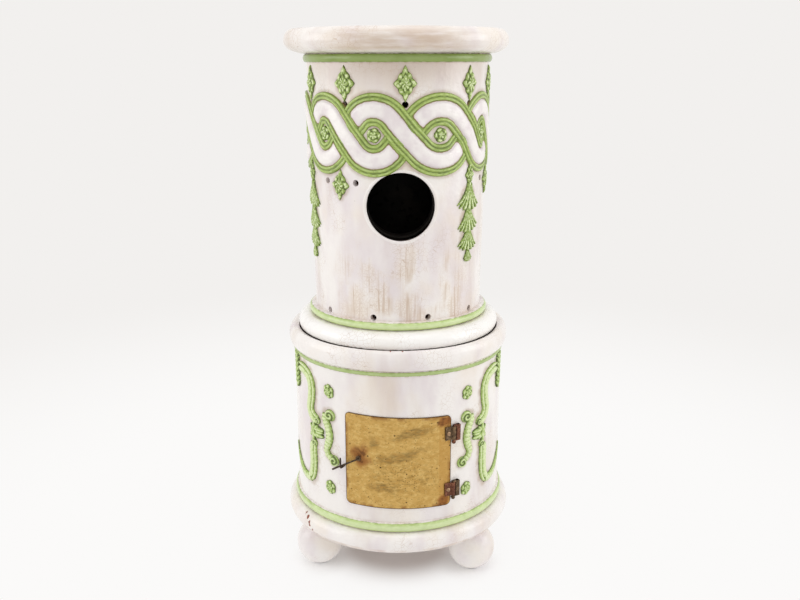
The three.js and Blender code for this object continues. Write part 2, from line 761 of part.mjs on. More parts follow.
// The hook that the lever drops behind: its root is set in the wall beside the door.
function buildCatch() {
  const root = -(lowerWallR - catchRoot);
  const points = [
    new THREE.Vector3(0, root, catchLowZ),
    new THREE.Vector3(0, -lowerWallR - 2, catchLowZ),
    new THREE.Vector3(0, -catchR + 2, catchLowZ),
    new THREE.Vector3(0, -catchR, catchLowZ + 2),
    new THREE.Vector3(0, -catchR, catchLowZ + catchHeight / 2),
    new THREE.Vector3(0, -catchR, catchLowZ + catchHeight),
  ];
  return geometryOf(solid(wireAlong(points, wireR, 8, 12)));
}

// ---------------------------------------------------------------- heating drum

const upperWallAt = (z) => upperBottomR + ((upperTopR - upperBottomR) * (z - upperWallZ)) / upperWallHeight;

function upperDrumProfile() {
  const shoulderR = upperWallAt(upperWallZ) + 12;
  const base = [];
  for (let i = 0; i <= 4; i += 1) {
    const turn = (Math.PI / 2) * (i / 4) * 1.25 - Math.PI * 0.125;
    base.push([
      shoulderR + (upperBaseR - shoulderR) * Math.cos(turn),
      upperZ + upperBaseHeight * (0.42 + 0.58 * Math.sin(turn)),
    ]);
  }
  const lip = [];
  for (let i = 0; i <= 6; i += 1) {
    const turn = Math.PI * (i / 6 - 0.5);
    const wallR = upperTopR;
    const landR = wallR + rimBulge - rimLandWidth;
    const share = turn < 0 ? rimBulge : rimLandWidth;
    const from = turn < 0 ? wallR : landR;
    lip.push([from + share * Math.cos(turn), rimZ + (rimHeight / 2) * (1 + Math.sin(turn))]);
  }
  return [
    [upperBottomR - upperWall, upperZ],
    [upperBaseR - 4, upperZ],
    ...base,
    ...bulge(upperBottomR + 5, upperBeadZ, beadHeight, beadBulge, 3),
    [upperBottomR, upperWallZ],
    [upperTopR, topBeadZ],
    ...bulge(upperTopR, topBeadZ, beadHeight, beadBulge - 1.5, 3),
    ...lip,
    [lidSeatR, rimTopZ],
    [lidSeatR, lidSeatZ],
    [upperTopR - upperWall, lidSeatZ],
  ].filter(([r, z], i, all) => i === 0 || Math.hypot(r - all[i - 1][0], z - all[i - 1][1]) > 0.01);
}

const crossingBearing = (k) => {
  const turn = Math.floor(k / crossings);
  const place = k - turn * crossings;
  return firstCrossing + (360 / crossings) * k + handLaid[place];
};

// One element of the woven band: it rises from under its neighbour, goes over the next
// crossing and ends under the one after it.
function strand(k) {
  const marks = [crossingBearing(k - 1), crossingBearing(k), crossingBearing(k + 1)];
  const steps = 10;
  const path = [];
  for (let i = 0; i <= steps; i += 1) {
    const phase = -1 + (2 * i) / steps;
    const far = phase < 0 ? marks[0] : marks[2];
    const bearing = marks[1] + Math.abs(phase) * (far - marks[1]);
    path.push({ bearing, z: bandZ - strandSwing * Math.sin(Math.PI * phase) });
  }
  const half = strandWidth / 2;
  const section = [
    [half, 0.35 * strandHeight],
    [half * 0.62, strandHeight],
    [-half * 0.62, strandHeight],
    [-half, 0.35 * strandHeight],
  ];
  return relief(path, section, upperWallAt, (share) => {
    const over = Math.min(1, 0.45 + 3.2 * Math.min(share, 1 - share));
    return [1, over];
  });
}

function buildUpperDrum() {
  let drum = solid(turned(upperDrumProfile(), drumFacets));
  const ornament = [];
  for (let k = 0; k < crossings; k += 1) {
    const bearing = crossingBearing(k);
    const next = crossingBearing(k + 1);
    ornament.push(strand(k));
    ornament.push(rosette((bearing + next) / 2, bandZ, eyeR, eyeHeight, upperWallAt));
    ornament.push(lozenge(bearing, bandZ + topLozengeRise, 0.5));
  }
  const vents = [];
  for (let k = 0; k < crossings; k += 1) {
    vents.push([crossingBearing(k), bandZ + topVentRise]);
  }
  for (const [k, stray] of lowLozenges) {
    const bearing = crossingBearing(k) + stray;
    const ventZ = bandZ - midVentDrop;
    ornament.push(lozenge(bearing, bandZ - lowLozengeDrop, lowLozengeWaist));
    vents.push([bearing - midVentSpread, ventZ], [bearing + midVentSpread, ventZ]);
  }
  for (const [k, stray] of garlands) {
    ornament.push(...garland(crossingBearing(k) + stray));
  }
  for (let k = 0; k < lowVentCount; k += 1) {
    vents.push([lowVentBearing + (360 / lowVentCount) * k, upperWallZ + lowVentRise]);
  }
  drum = drum.add(joinAll(ornament.map(solid)));
  const hole = spoke(flueHoleR, flueBearing, flueZ, upperBottomR / 2, upperTopR + rimBulge, 28);
  drum = drum.subtract(solid(hole));
  for (const [bearing, z] of vents) {
    drum = drum.subtract(solid(spoke(ventR, bearing, z, upperBottomR / 2, upperTopR + rimBulge, 6)));
  }
  return geometryOf(drum);
}

function lozenge(bearing, z, waist) {
  return leaf(bearing, z, lozengeWidth, lozengeLength, lozengeHeight, upperWallAt, waist);
}

function garland(bearing) {
  const pieces = [];
  const top = bandZ - garlandDrop;
  for (let i = 0; i < huskCount; i += 1) {
    const width = huskWidth * (1 - 0.12 * Math.abs(i - 1));
    pieces.push(husk(bearing, top - huskPitch * i, width, upperWallAt));
  }
  const tip = top - huskPitch * huskCount - huskLength * 0.35;
  pieces.push(leaf(bearing, tip, huskWidth * 0.4, huskLength, huskHeight, upperWallAt));
  return pieces;
}

// ---------------------------------------------------------------- smoke chamber and lid

const chamberZ = plateTopZ + gap;
const chamberTopZ = chamberZ + chamberHeight;
const drumInnerAtFlue = upperWallAt(flueZ) - upperWall;
const collarFaceR = Math.sqrt(drumInnerAtFlue ** 2 - collarR ** 2) - collarSetback;

function buildChamber() {
  const innerR = chamberR - chamberWall;
  const profile = [[innerR, chamberZ], [chamberR, chamberZ], [chamberR, chamberTopZ], [innerR, chamberTopZ]];
  const tube = solid(turned(profile, innerFacets));
  return geometryOf(tube.subtract(solid(spoke(collarR + gap, flueBearing, flueZ, 20, chamberR + 20, 24))));
}

function buildCap() {
  const skirtR = chamberR + gap;
  const top = chamberTopZ + gap;
  const profile = [
    [0, top],
    [skirtR, top],
    [skirtR, top - capSkirt],
    [skirtR + chamberWall, top - capSkirt],
    [skirtR + chamberWall, top + capThickness],
    [0, top + capThickness],
  ];
  return geometryOf(solid(turned(profile, innerFacets)));
}

function buildCollar() {
  const outside = solid(spoke(collarR, flueBearing, flueZ, collarFaceR - collarLength, collarFaceR, 24));
  const [from, to] = [collarFaceR - collarLength - overcut, collarFaceR + overcut];
  return geometryOf(outside.subtract(solid(spoke(collarR - collarWall, flueBearing, flueZ, from, to, 24))));
}

function buildLid() {
  const lidR = lidSeatR - 2 * gap;
  const z = lidSeatZ + gap;
  const top = z + lidThickness;
  const profile = [
    [0, z],
    [lidR, z],
    [lidR, top - 3],
    [lidR - 4, top],
    [knobR * 1.3, top + 0.5],
    [knobR * 0.6, top + knobHeight * 0.2],
    [knobR * 0.6, top + knobHeight * 0.4],
    [knobR, top + knobHeight * 0.7],
    [knobR * 0.7, top + knobHeight * 0.95],
    [0, top + knobHeight],
  ];
  return geometryOf(solid(turned(profile, innerFacets)));
}

// ---------------------------------------------------------------- the assembly

const stove = new THREE.Group();
stove.name = 'stove';

function piece(name, geometry, material, parent = stove) {
  const mesh = new THREE.Mesh(geometry, material);
  mesh.name = name;
  parent.add(mesh);
  return mesh;
}

// A group turned to a bearing, for pieces that are built facing the front.
function facing(bearing) {
  const group = new THREE.Group();
  group.rotation.z = radians(bearing);
  stove.add(group);
  return group;
}

piece('lower_drum', buildLowerDrum(), glaze);
const footNames = ['foot_front_left', 'foot_front_right', 'foot_back'];
footPlaces.forEach((place, i) => {
  const name = footNames[i] ?? `foot_${i + 1}`;
  piece(name, buildFoot(), glaze).position.set(place.x, place.y, 0);
});

piece('hearth_slab', buildSlab(), firebrick);
for (let i = 0; i < brickCount; i += 1) {
  piece(`liner_brick_${i + 1}`, buildBrick(i), firebrick);
}
piece('grate', buildGrate(), castIron);
piece('firebox_plate', buildPlate(), castIron);

piece('door_panel', buildDoorPanel(), brass);
const hingeSide = facing(hingeBearing);
const rivetSide = facing(rivetBearing);
['upper', 'lower'].forEach((which, i) => {
  piece(`hinge_leaf_${which}`, buildHingeLeaf(hingeHeights[i]), bronze, hingeSide);
  piece(`hinge_bracket_${which}`, buildHingeBracket(hingeHeights[i]), bronze, hingeSide);
  piece(`hinge_rivet_${which}`, buildRivet(hingeHeights[i]), bronze, rivetSide);
});
const latchSide = facing(latchBearing);
piece('latch_bush', buildLatchBush(), brass, latchSide);
piece('latch_lever', buildLatchLever(), wire, latchSide);
piece('catch_hook', buildCatch(), wire, facing(catchBearing));

piece('upper_drum', buildUpperDrum(), glaze);
piece('smoke_chamber', buildChamber(), sheetIron);
piece('smoke_cap', buildCap(), sheetIron);
piece('flue_collar', buildCollar(), sheetIron);
piece('top_lid', buildLid(), glaze);

export default stove;
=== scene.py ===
"""A small round stove of glazed faience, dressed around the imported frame.

Sizes are in millimetres and become metres where a mesh is made. +Z is up, the front with the
fire door faces -Y. A bearing is an angle about the stove's axis: 0 is the front, 90 the right.
Ornament is first made flat, as if the drum's wall were unrolled: X runs along the wall, Z is
the height and -Y stands out of the wall. A geometry node tree then lays it round the drum.
"""

import logging
import math
from collections.abc import Callable
from dataclasses import dataclass, field
from enum import Enum

import bmesh
import bpy
import numpy as np
from mathutils import Matrix, Vector


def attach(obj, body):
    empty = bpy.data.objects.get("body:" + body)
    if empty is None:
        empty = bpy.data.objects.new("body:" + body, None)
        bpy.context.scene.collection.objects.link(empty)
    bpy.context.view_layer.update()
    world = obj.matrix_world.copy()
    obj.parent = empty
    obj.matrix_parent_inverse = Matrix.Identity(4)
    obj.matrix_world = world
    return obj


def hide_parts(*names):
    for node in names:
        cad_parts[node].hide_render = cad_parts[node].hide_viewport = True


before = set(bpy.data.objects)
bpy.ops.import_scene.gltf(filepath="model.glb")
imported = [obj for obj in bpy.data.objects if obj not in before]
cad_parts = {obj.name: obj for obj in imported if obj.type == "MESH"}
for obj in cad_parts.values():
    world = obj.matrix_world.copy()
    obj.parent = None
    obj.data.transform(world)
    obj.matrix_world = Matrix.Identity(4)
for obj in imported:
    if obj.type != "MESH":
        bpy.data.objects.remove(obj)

Socket = bpy.types.NodeSocket
Value = Socket | float
Look = tuple[Value, Value, Value]
Outline = list[tuple[float, float]]

LOG = logging.getLogger("stove")
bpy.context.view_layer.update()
MM = 0.001
CLEARANCE = 0.3  # between pieces that are not one solid, in millimetres


class Body(Enum):
    """The moving bodies of the stove."""

    BASE = "base"
    DOOR = "door"
    LATCH = "latch"
    HEATING_DRUM = "heating_drum"
    LID = "lid"


class Slot(Enum):
    """The material slots that the pieces made here take their finish from."""

    GLAZE = "glazed_faience"
    CAST_IRON = "cast_iron"
    SHEET_IRON = "sheet_iron"
    BRASS = "door_brass"
    BRONZE = "hinge_bronze"
    WIRE = "latch_wire"


# ------------------------------------------------------------------ nodes


def linear(colour: str) -> tuple[float, float, float, float]:
    """Turns a colour's sRGB hex value to linear light.

    Args:
        colour: The value, such as "#8fa850".

    Returns:
        Red, green, blue and alpha.
    """
    parts = [int(colour[i : i + 2], 16) / 255 for i in (1, 3, 5)]
    light = [c / 12.92 if c <= 0.04045 else ((c + 0.055) / 1.055) ** 2.4 for c in parts]
    return (*light, 1.0)


def add_node(
    tree: bpy.types.NodeTree, kind: str, inputs: dict | None = None, **settings: object
) -> bpy.types.Node:
    """Adds a node with its settings and links.

    Args:
        tree: The node tree.
        kind: The node's type.
        inputs: Its sockets by name or number, with the value or the socket that feeds each.
        settings: The node's own properties; "curve" holds the points of a float curve.

    Returns:
        The node.
    """
    node = tree.nodes.new(kind)
    for key, value in settings.items():
        if key == "curve":
            line = node.mapping.curves[0]
            while len(line.points) < len(value):
                line.points.new(0.5, 0.5)
            for point, place in zip(line.points, value):
                point.location, point.handle_type = place, "AUTO_CLAMPED"
            node.mapping.update()
        else:
            setattr(node, key, value)
    for key, value in (inputs or {}).items():
        if isinstance(value, Socket):
            tree.links.new(value, node.inputs[key])
        else:
            node.inputs[key].default_value = value
    return node


class Wiring:
    """What the finishes and the recipes have in common: a node tree, and arithmetic in it."""

    tree: bpy.types.NodeTree

    def add(self, kind: str, inputs: dict | None = None, **settings: object) -> bpy.types.Node:
        """Adds a node to the tree; see add_node."""
        return add_node(self.tree, kind, inputs, **settings)

    def math(self, operation: str, *values: Value) -> Value:
        """Combines several values by one operation, from the first to the last.

        Args:
            operation: Such as MULTIPLY or MAXIMUM.
            values: The values or their sockets.

        Returns:
            The result's socket.
        """
        result = values[0]
        for value in values[1:]:
            result = self.add("ShaderNodeMath", {0: result, 1: value}, operation=operation).outputs[0]
        return result

    def times(self, *values: Value) -> Value:
        """Gives the product of the values."""
        return self.math("MULTIPLY", *values)

    def plus(self, *values: Value) -> Value:
        """Gives the sum of the values."""
        return self.math("ADD", *values)

    def less(self, *values: Value) -> Value:
        """Gives the first value less the others."""
        return self.math("SUBTRACT", *values)

    def most(self, *values: Value) -> Value:
        """Gives the largest of the values."""
        return self.math("MAXIMUM", *values)

    def split(self, place: Socket) -> list[Socket]:
        """Gives the three parts of a vector."""
        return list(self.add("ShaderNodeSeparateXYZ", {0: place}).outputs)

    def vector(self, operation: str, first: Socket, second: Value | tuple | None = None) -> bpy.types.Node:
        """Adds a node of vector arithmetic.

        Args:
            operation: Such as ADD; SCALE takes a number as its second value.
            first: The first vector.
            second: The second one, where the operation has it.

        Returns:
            The node.
        """
        other = {} if second is None else {3 if operation == "SCALE" else 1: second}
        return self.add("ShaderNodeVectorMath", {0: first, **other}, operation=operation)


def placed(name: str, data: bpy.types.ID) -> bpy.types.Object:
    """Puts an object with this data in the scene.

    Args:
        name: The object's name.
        data: Its mesh, lamp or camera.

    Returns:
        The object.
    """
    made = bpy.data.objects.new(name, data)
    bpy.context.scene.collection.objects.link(made)
    return made


# ------------------------------------------------------------------ forms


@dataclass
class Form:
    """A mesh in the making: points in millimetres, faces, and named values at the points."""

    points: np.ndarray
    faces: list
    values: dict[str, np.ndarray] = field(default_factory=dict)

    @classmethod
    def from_mesh(cls, mesh: bpy.types.Mesh) -> "Form":
        """Reads a Blender mesh with its float attributes, and removes it.

        Args:
            mesh: The mesh, in metres.

        Returns:
            The form.
        """
        count = len(mesh.vertices)
        points = np.zeros(count * 3)
        mesh.vertices.foreach_get("co", points)
        corners = np.zeros(len(mesh.loops), int)
        mesh.loops.foreach_get("vertex_index", corners)
        starts = np.zeros(len(mesh.polygons), int)
        mesh.polygons.foreach_get("loop_start", starts)
        faces = [part.tolist() for part in np.split(corners, starts[1:])] if len(starts) else []
        values = {}
        for layer in mesh.attributes:
            if layer.data_type == "FLOAT" and layer.domain == "POINT":
                values[layer.name] = np.zeros(count)
                layer.data.foreach_get("value", values[layer.name])
        bpy.data.meshes.remove(mesh)
        return cls(points.reshape(-1, 3) / MM, faces, values)

    @classmethod
    def joined(cls, forms: list["Form"]) -> "Form":
        """Puts several forms into one.

        Args:
            forms: The forms.

        Returns:
            One form with the values that any of them has, 0 where one lacks it.
        """
        names = {name for form in forms for name in form.values}
        faces, start = [], 0
        for form in forms:
            faces += [[i + start for i in face] for face in form.faces]
            start += len(form.points)
        values = {n: np.concatenate([f.values.get(n, np.zeros(len(f.points))) for f in forms]) for n in names}
        return cls(np.vstack([form.points for form in forms]), faces, values)

    def moved(self, shift: tuple = (0, 0, 0), bearing: float = 0.0) -> "Form":
        """Shifts a copy and then turns it to a bearing.

        Args:
            shift: The shift in millimetres.
            bearing: The turn about the stove's axis in degrees.

        Returns:
            The copy.
        """
        turn = math.radians(bearing)
        x, y, z = (self.points + np.array(shift, float)).T
        turned = [x * math.cos(turn) - y * math.sin(turn), x * math.sin(turn) + y * math.cos(turn), z]
        return Form(np.stack(turned, 1), self.faces, dict(self.values))

    def mesh(self, name: str, outward: bool = True) -> bpy.types.Mesh:
        """Makes the Blender mesh, in metres.

        Args:
            name: The mesh's name.
            outward: Whether to turn all faces outwards.

        Returns:
            The mesh.
        """
        mesh = bpy.data.meshes.new(name)
        mesh.from_pydata((self.points * MM).tolist(), [], self.faces)
        for label, value in self.values.items():
            mesh.attributes.new(label, "FLOAT", "POINT").data.foreach_set("value", value.astype(np.float32))
        if outward:
            work = bmesh.new()
            work.from_mesh(mesh)
            bmesh.ops.recalc_face_normals(work, faces=work.faces)
            work.to_mesh(mesh)
            work.free()
        return mesh


def bulge(wall_r: float, z: float, height: float, depth: float, steps: int) -> Outline:
    """Gives the points of an elliptical bulge that stands out of a wall.

    Args:
        wall_r: The wall's radius.
        z: The bulge's foot.
        height: Its height.
        depth: How far it stands out.
        steps: The number of steps.

    Returns:
        The points as radius and height, from foot to head.
    """
    turns = [math.pi * (i / steps - 0.5) for i in range(steps + 1)]
    return [(wall_r + depth * math.cos(t), z + height / 2 * (1 + math.sin(t))) for t in turns]


def wall(start: tuple[float, float], end: tuple[float, float], pitch: float) -> Outline:
    """Gives evenly spaced points on a straight wall, without its ends.

    Args:
        start: The wall's foot as radius and height.
        end: Its head.
        pitch: The wanted spacing.

    Returns:
        The points between.
    """
    steps = max(1, round(math.dist(start, end) / pitch))
    return [tuple(np.add(start, np.subtract(end, start) * i / steps)) for i in range(1, steps)]


def inside_bead(z: np.ndarray, foot: float, height: float) -> np.ndarray:
    """Gives how far heights lie inside a bead that starts at its foot, below 0 outside it."""
    return height / 2 - np.abs(z - foot - height / 2)


def apart(points: Outline) -> Outline:
    """Drops the points of a profile that lie on the one before."""
    return [points[0]] + [p for p, q in zip(points[1:], points) if math.dist(p, q) > 0.02]


def smooth_path(points: Outline, steps: int) -> np.ndarray:
    """Draws a smooth line through points, as evenly spaced points.

    Args:
        points: The points to pass.
        steps: The number of steps of the result.

    Returns:
        The points of the line.
    """
    p = np.array([points[0], *points, points[-1]], float)
    fine = []
    for i in range(1, len(p) - 2):
        for t in np.linspace(0, 1, 12, endpoint=i == len(p) - 3):
            a, b, c, d = p[i - 1 : i + 3]
            fine.append(
                0.5 * (
                    2 * b + (c - a) * t + (2 * a - 5 * b + 4 * c - d) * t**2 + (3 * b - a - 3 * c + d) * t**3
                )
            )
    fine = np.array(fine)
    run = np.concatenate([[0], np.cumsum(np.linalg.norm(np.diff(fine, axis=0), axis=1))])
    even = np.linspace(0, run[-1], steps + 1)
    return np.stack([np.interp(even, run, fine[:, i]) for i in range(fine.shape[1])], 1)


def block(size: tuple[float, float, float], centre: tuple[float, float, float], edge: float) -> Form:
    """Makes a block with rounded edges.

    Args:
        size: Its width, depth and height.
        centre: Its centre.
        edge: The rounding's width.

    Returns:
        The block.
    """
    work = bmesh.new()
    bmesh.ops.create_cube(work, size=1.0)
    bmesh.ops.scale(work, vec=Vector(size), verts=work.verts)
    bmesh.ops.bevel(work, geom=list(work.edges), offset=edge, segments=3, profile=0.6, affect="EDGES")
    work.verts.index_update()
    points = np.array([v.co for v in work.verts]) + np.array(centre)
    faces = [[v.index for v in face.verts] for face in work.faces]
    work.free()
    return Form(points, faces)


def rod(path: np.ndarray, radii: list[float] | float, sides: int = 14, flat: float = 1.0) -> Form:
    """Makes a round rod along a path, with closed ends.

    Args:
        path: Its points.
        radii: One radius, or one for each point.
        sides: The number of sides.
        flat: How thin the section is across the stove's radius, as a share of its width.

    Returns:
        The rod.
    """
    path = np.asarray(path, float)
    radii = np.broadcast_to(np.asarray(radii, float), len(path))
    ahead = np.gradient(path, axis=0)
    ahead /= np.linalg.norm(ahead, axis=1)[:, None]
    rings = []
    side = np.cross(ahead[0], (0.31, 0.17, 0.93))
    for place, along, radius in zip(path, ahead, radii):
        side = side - along * (side @ along)
        side /= np.linalg.norm(side)
        up = np.cross(along, side)
        turns = np.linspace(0, 2 * math.pi, sides, endpoint=False)
        ring = np.outer(np.cos(turns), side) + np.outer(np.sin(turns), up)
        ring[:, 1] *= flat
        rings.append(place + radius * ring)
    count = len(path)
    faces = []
    for i in range(count - 1):
        for j in range(sides):
            k = (j + 1) % sides
            faces.append([i * sides + j, i * sides + k, (i + 1) * sides + k, (i + 1) * sides + j])
    faces += [list(range(sides)), [(count - 1) * sides + j for j in range(sides)]]
    return Form(np.vstack(rings), faces)


def carved(width: float, length: float, step: float, shape: Callable) -> Form:
    """Carves a small closed ornament from a field of heights.

    Args:
        width: The field's width.
        length: Its length, along Z.
        step: The grid's spacing.
        shape: Gives the height and the share of light paint (0 to 1) at points across and up, the light paint
            standing for highlight and its lack for shade; below 0 the point is outside the ornament.

    Returns:
        The ornament, flat, with its value "rise".
    """
    root = 1.0
    nx, nz = math.ceil(width / step) + 2, math.ceil(length / step) + 2
    u, v = np.meshgrid((np.arange(nx + 1) - nx / 2) * step, (np.arange(nz + 1) - nz / 2) * step)
    height, rise = shape(u, v)
    height = np.maximum(height, -root)
    keep = np.maximum.reduce([height[:-1, :-1], height[1:, :-1], height[:-1, 1:], height[1:, 1:]]) > 0
    index = np.arange(u.size).reshape(u.shape)
    quads = np.stack([index[:-1, :-1], index[:-1, 1:], index[1:, 1:], index[1:, :-1]], -1)[keep]
    used, inverse = np.unique(quads, return_inverse=True)
    quads = inverse.reshape(quads.shape)
    top = np.stack([u.ravel()[used], -height.ravel()[used], v.ravel()[used]], 1)
    low = top.copy()
    low[:, 1] = 3 * root
    count = len(top)
    ways = {}
    for quad in quads.tolist():
        for a, b in zip(quad, quad[1:] + quad[:1]):
            ways[(a, b)] = True
    sides = [[b, a, a + count, b + count] for a, b in ways if (b, a) not in ways]
    faces = quads.tolist() + [[i + count for i in quad[::-1]] for quad in quads.tolist()] + sides
    light = rise.ravel()[used]
    return Form(np.vstack([top, low]), faces, {"rise": np.concatenate([light, light * 0])})


# ------------------------------------------------------------------ the drums' walls


LAYING = {name: "Float" for name in ("Low Radius", "High Radius", "Low Height", "High Height")}


@dataclass(frozen=True)
class Ground:
    """A drum's wall, a slender cone that ornament is laid on."""

    low_r: float
    high_r: float
    low_z: float
    high_z: float

    def radius(self, z: np.ndarray | float) -> np.ndarray | float:
        """Gives the wall's radius at a height."""
        return self.low_r + (self.high_r - self.low_r) * (z - self.low_z) / (self.high_z - self.low_z)

    def flat(self, bearing: float, z: float) -> tuple[float, float]:
        """Gives the place on the unrolled wall of a bearing and a height."""
        return math.radians(bearing) * self.high_r, z

    def sizes(self) -> dict[str, float]:
        """Gives the sizes that lay ornament on this wall, in metres, by the names of the inputs."""
        sizes = (self.low_r, self.high_r, self.low_z, self.high_z)
        return {name: size * MM for name, size in zip(LAYING, sizes)}


class Recipe(Wiring):
    """A geometry node tree with named inputs, and the way to run it."""

    def __init__(self, name: str, inputs: dict[str, str]) -> None:
        """Starts the tree.

        Args:
            name: The tree's name.
            inputs: The kind of socket of each input, by its name.
        """
        self.tree = bpy.data.node_groups.new(name, "GeometryNodeTree")
        face = self.tree.interface
        for label, kind in {"Geometry": "Geometry", **inputs, "Finish": "Material"}.items():
            face.new_socket(label, in_out="INPUT", socket_type="NodeSocket" + kind)
        face.new_socket("Geometry", in_out="OUTPUT", socket_type="NodeSocketGeometry")
        self.given = self.add("NodeGroupInput").outputs

    def here(self) -> Socket:
        """Gives the place of each point."""
        return self.add("GeometryNodeInputPosition").outputs[0]

    def stored(self, name: str, kind: str = "FLOAT_VECTOR") -> Socket:
        """Reads a value that the source's points hold."""
        return self.add("GeometryNodeInputNamedAttribute", {"Name": name}, data_type=kind).outputs[0]

    def lay_on_drum(self, geometry: Socket) -> Socket:
        """Bends flat geometry round the drum's wall.

        Args:
            geometry: The flat geometry.

        Returns:
            The geometry on the wall.
        """
        low_r, high_r, low_z, high_z = [self.given[name] for name in LAYING]
        right, back, up = self.split(self.here())
        share = self.math("DIVIDE", self.less(up, low_z), self.less(high_z, low_z))
        radius = self.less(self.plus(self.times(self.less(high_r, low_r), share), low_r), back)
        turn = self.math("DIVIDE", right, high_r)
        x = self.times(self.math("SINE", turn, 0.0), radius)
        y = self.times(self.math("COSINE", turn, 0.0), radius, -1.0)
        return self.set_at(geometry, self.add("ShaderNodeCombineXYZ", {0: x, 1: y, 2: up}).outputs[0])

    def set_at(self, geometry: Socket, spot: Socket) -> Socket:
        """Moves the points of geometry to new places."""
        return self.add("GeometryNodeSetPosition", {"Geometry": geometry, "Position": spot}).outputs[0]

    def end(self, geometry: Socket) -> None:
        """Ends the tree with real geometry and its finish.

        Args:
            geometry: The geometry to hand out.
        """
        real = self.add("GeometryNodeRealizeInstances", {0: geometry})
        dressed = {"Geometry": real.outputs[0], "Material": self.given["Finish"]}
        self.add("NodeGroupOutput", {0: self.add("GeometryNodeSetMaterial", dressed).outputs[0]})

    def run(self, source: bpy.types.Mesh, values: dict[str, object]) -> Form:
        """Runs the tree on a mesh.

        Args:
            source: The mesh that goes in, which is removed.
            values: The inputs, by their names.

        Returns:
            What comes out.
        """
        holder = placed(source.name, source)
        modifier = holder.modifiers.new("make", "NODES")
        modifier.node_group = self.tree
        for item in self.tree.interface.items_tree:
            if item.in_out == "INPUT" and item.name in values:
                modifier[item.identifier] = values[item.name]
        graph = bpy.context.evaluated_depsgraph_get()
        made = bpy.data.meshes.new_from_object(
            holder.evaluated_get(graph), preserve_all_data_layers=True, depsgraph=graph
        )
        holder.modifiers.remove(modifier)
        bpy.data.objects.remove(holder)
        bpy.data.meshes.remove(source)
        return Form.from_mesh(made)


def turning_recipe() -> Recipe:
    """Builds the tree that turns a profile about the axis, as on a potter's wheel.

    Returns:
        The recipe, whose source is a profile of points as (radius, 0, height).
    """
    recipe = Recipe("turned on the wheel", {"Around": "Int", "Rows": "Int", "Waver": "Float"})
    given = recipe.given
    columns = recipe.plus(given["Around"], 1)
    grid = recipe.add("GeometryNodeMeshGrid", {0: 1.0, 1: 1.0, 2: columns, 3: given["Rows"]})
    place = recipe.split(recipe.here())
    row = recipe.math("ROUND", recipe.times(recipe.plus(place[1], 0.5), recipe.less(given["Rows"], 1)), 0.0)
    turn = recipe.times(recipe.plus(place[0], 0.5), 2 * math.pi)
    sampled = {"Geometry": given["Geometry"], "Value": recipe.here(), "Index": row}
    profile = recipe.add("GeometryNodeSampleIndex", sampled, data_type="FLOAT_VECTOR")
    reach, _, height = recipe.split(profile.outputs[0])
    sine, cosine = recipe.math("SINE", turn, 0.0), recipe.math("COSINE", turn, 0.0)
    where = recipe.add("ShaderNodeCombineXYZ", {0: sine, 1: cosine, 2: recipe.times(height, 4.0)})
    noise = recipe.add("ShaderNodeTexNoise", {"Vector": where.outputs[0], "Scale": 1.3, "Detail": 1.0})
    off_axis = recipe.math("MINIMUM", recipe.times(reach, 100.0), 1.0)
    waver = recipe.times(recipe.less(noise.outputs[0], 0.5), given["Waver"], 2.0, off_axis)
    radius = recipe.plus(reach, waver)
    x, y = recipe.times(radius, sine), recipe.times(radius, cosine, -1.0)
    spot = recipe.add("ShaderNodeCombineXYZ", {0: x, 1: y, 2: height}).outputs[0]
    made = {"Geometry": recipe.set_at(grid.outputs[0], spot), "Distance": 0.01 * MM}
    recipe.end(recipe.add("GeometryNodeMergeByDistance", made).outputs[0])
    return recipe


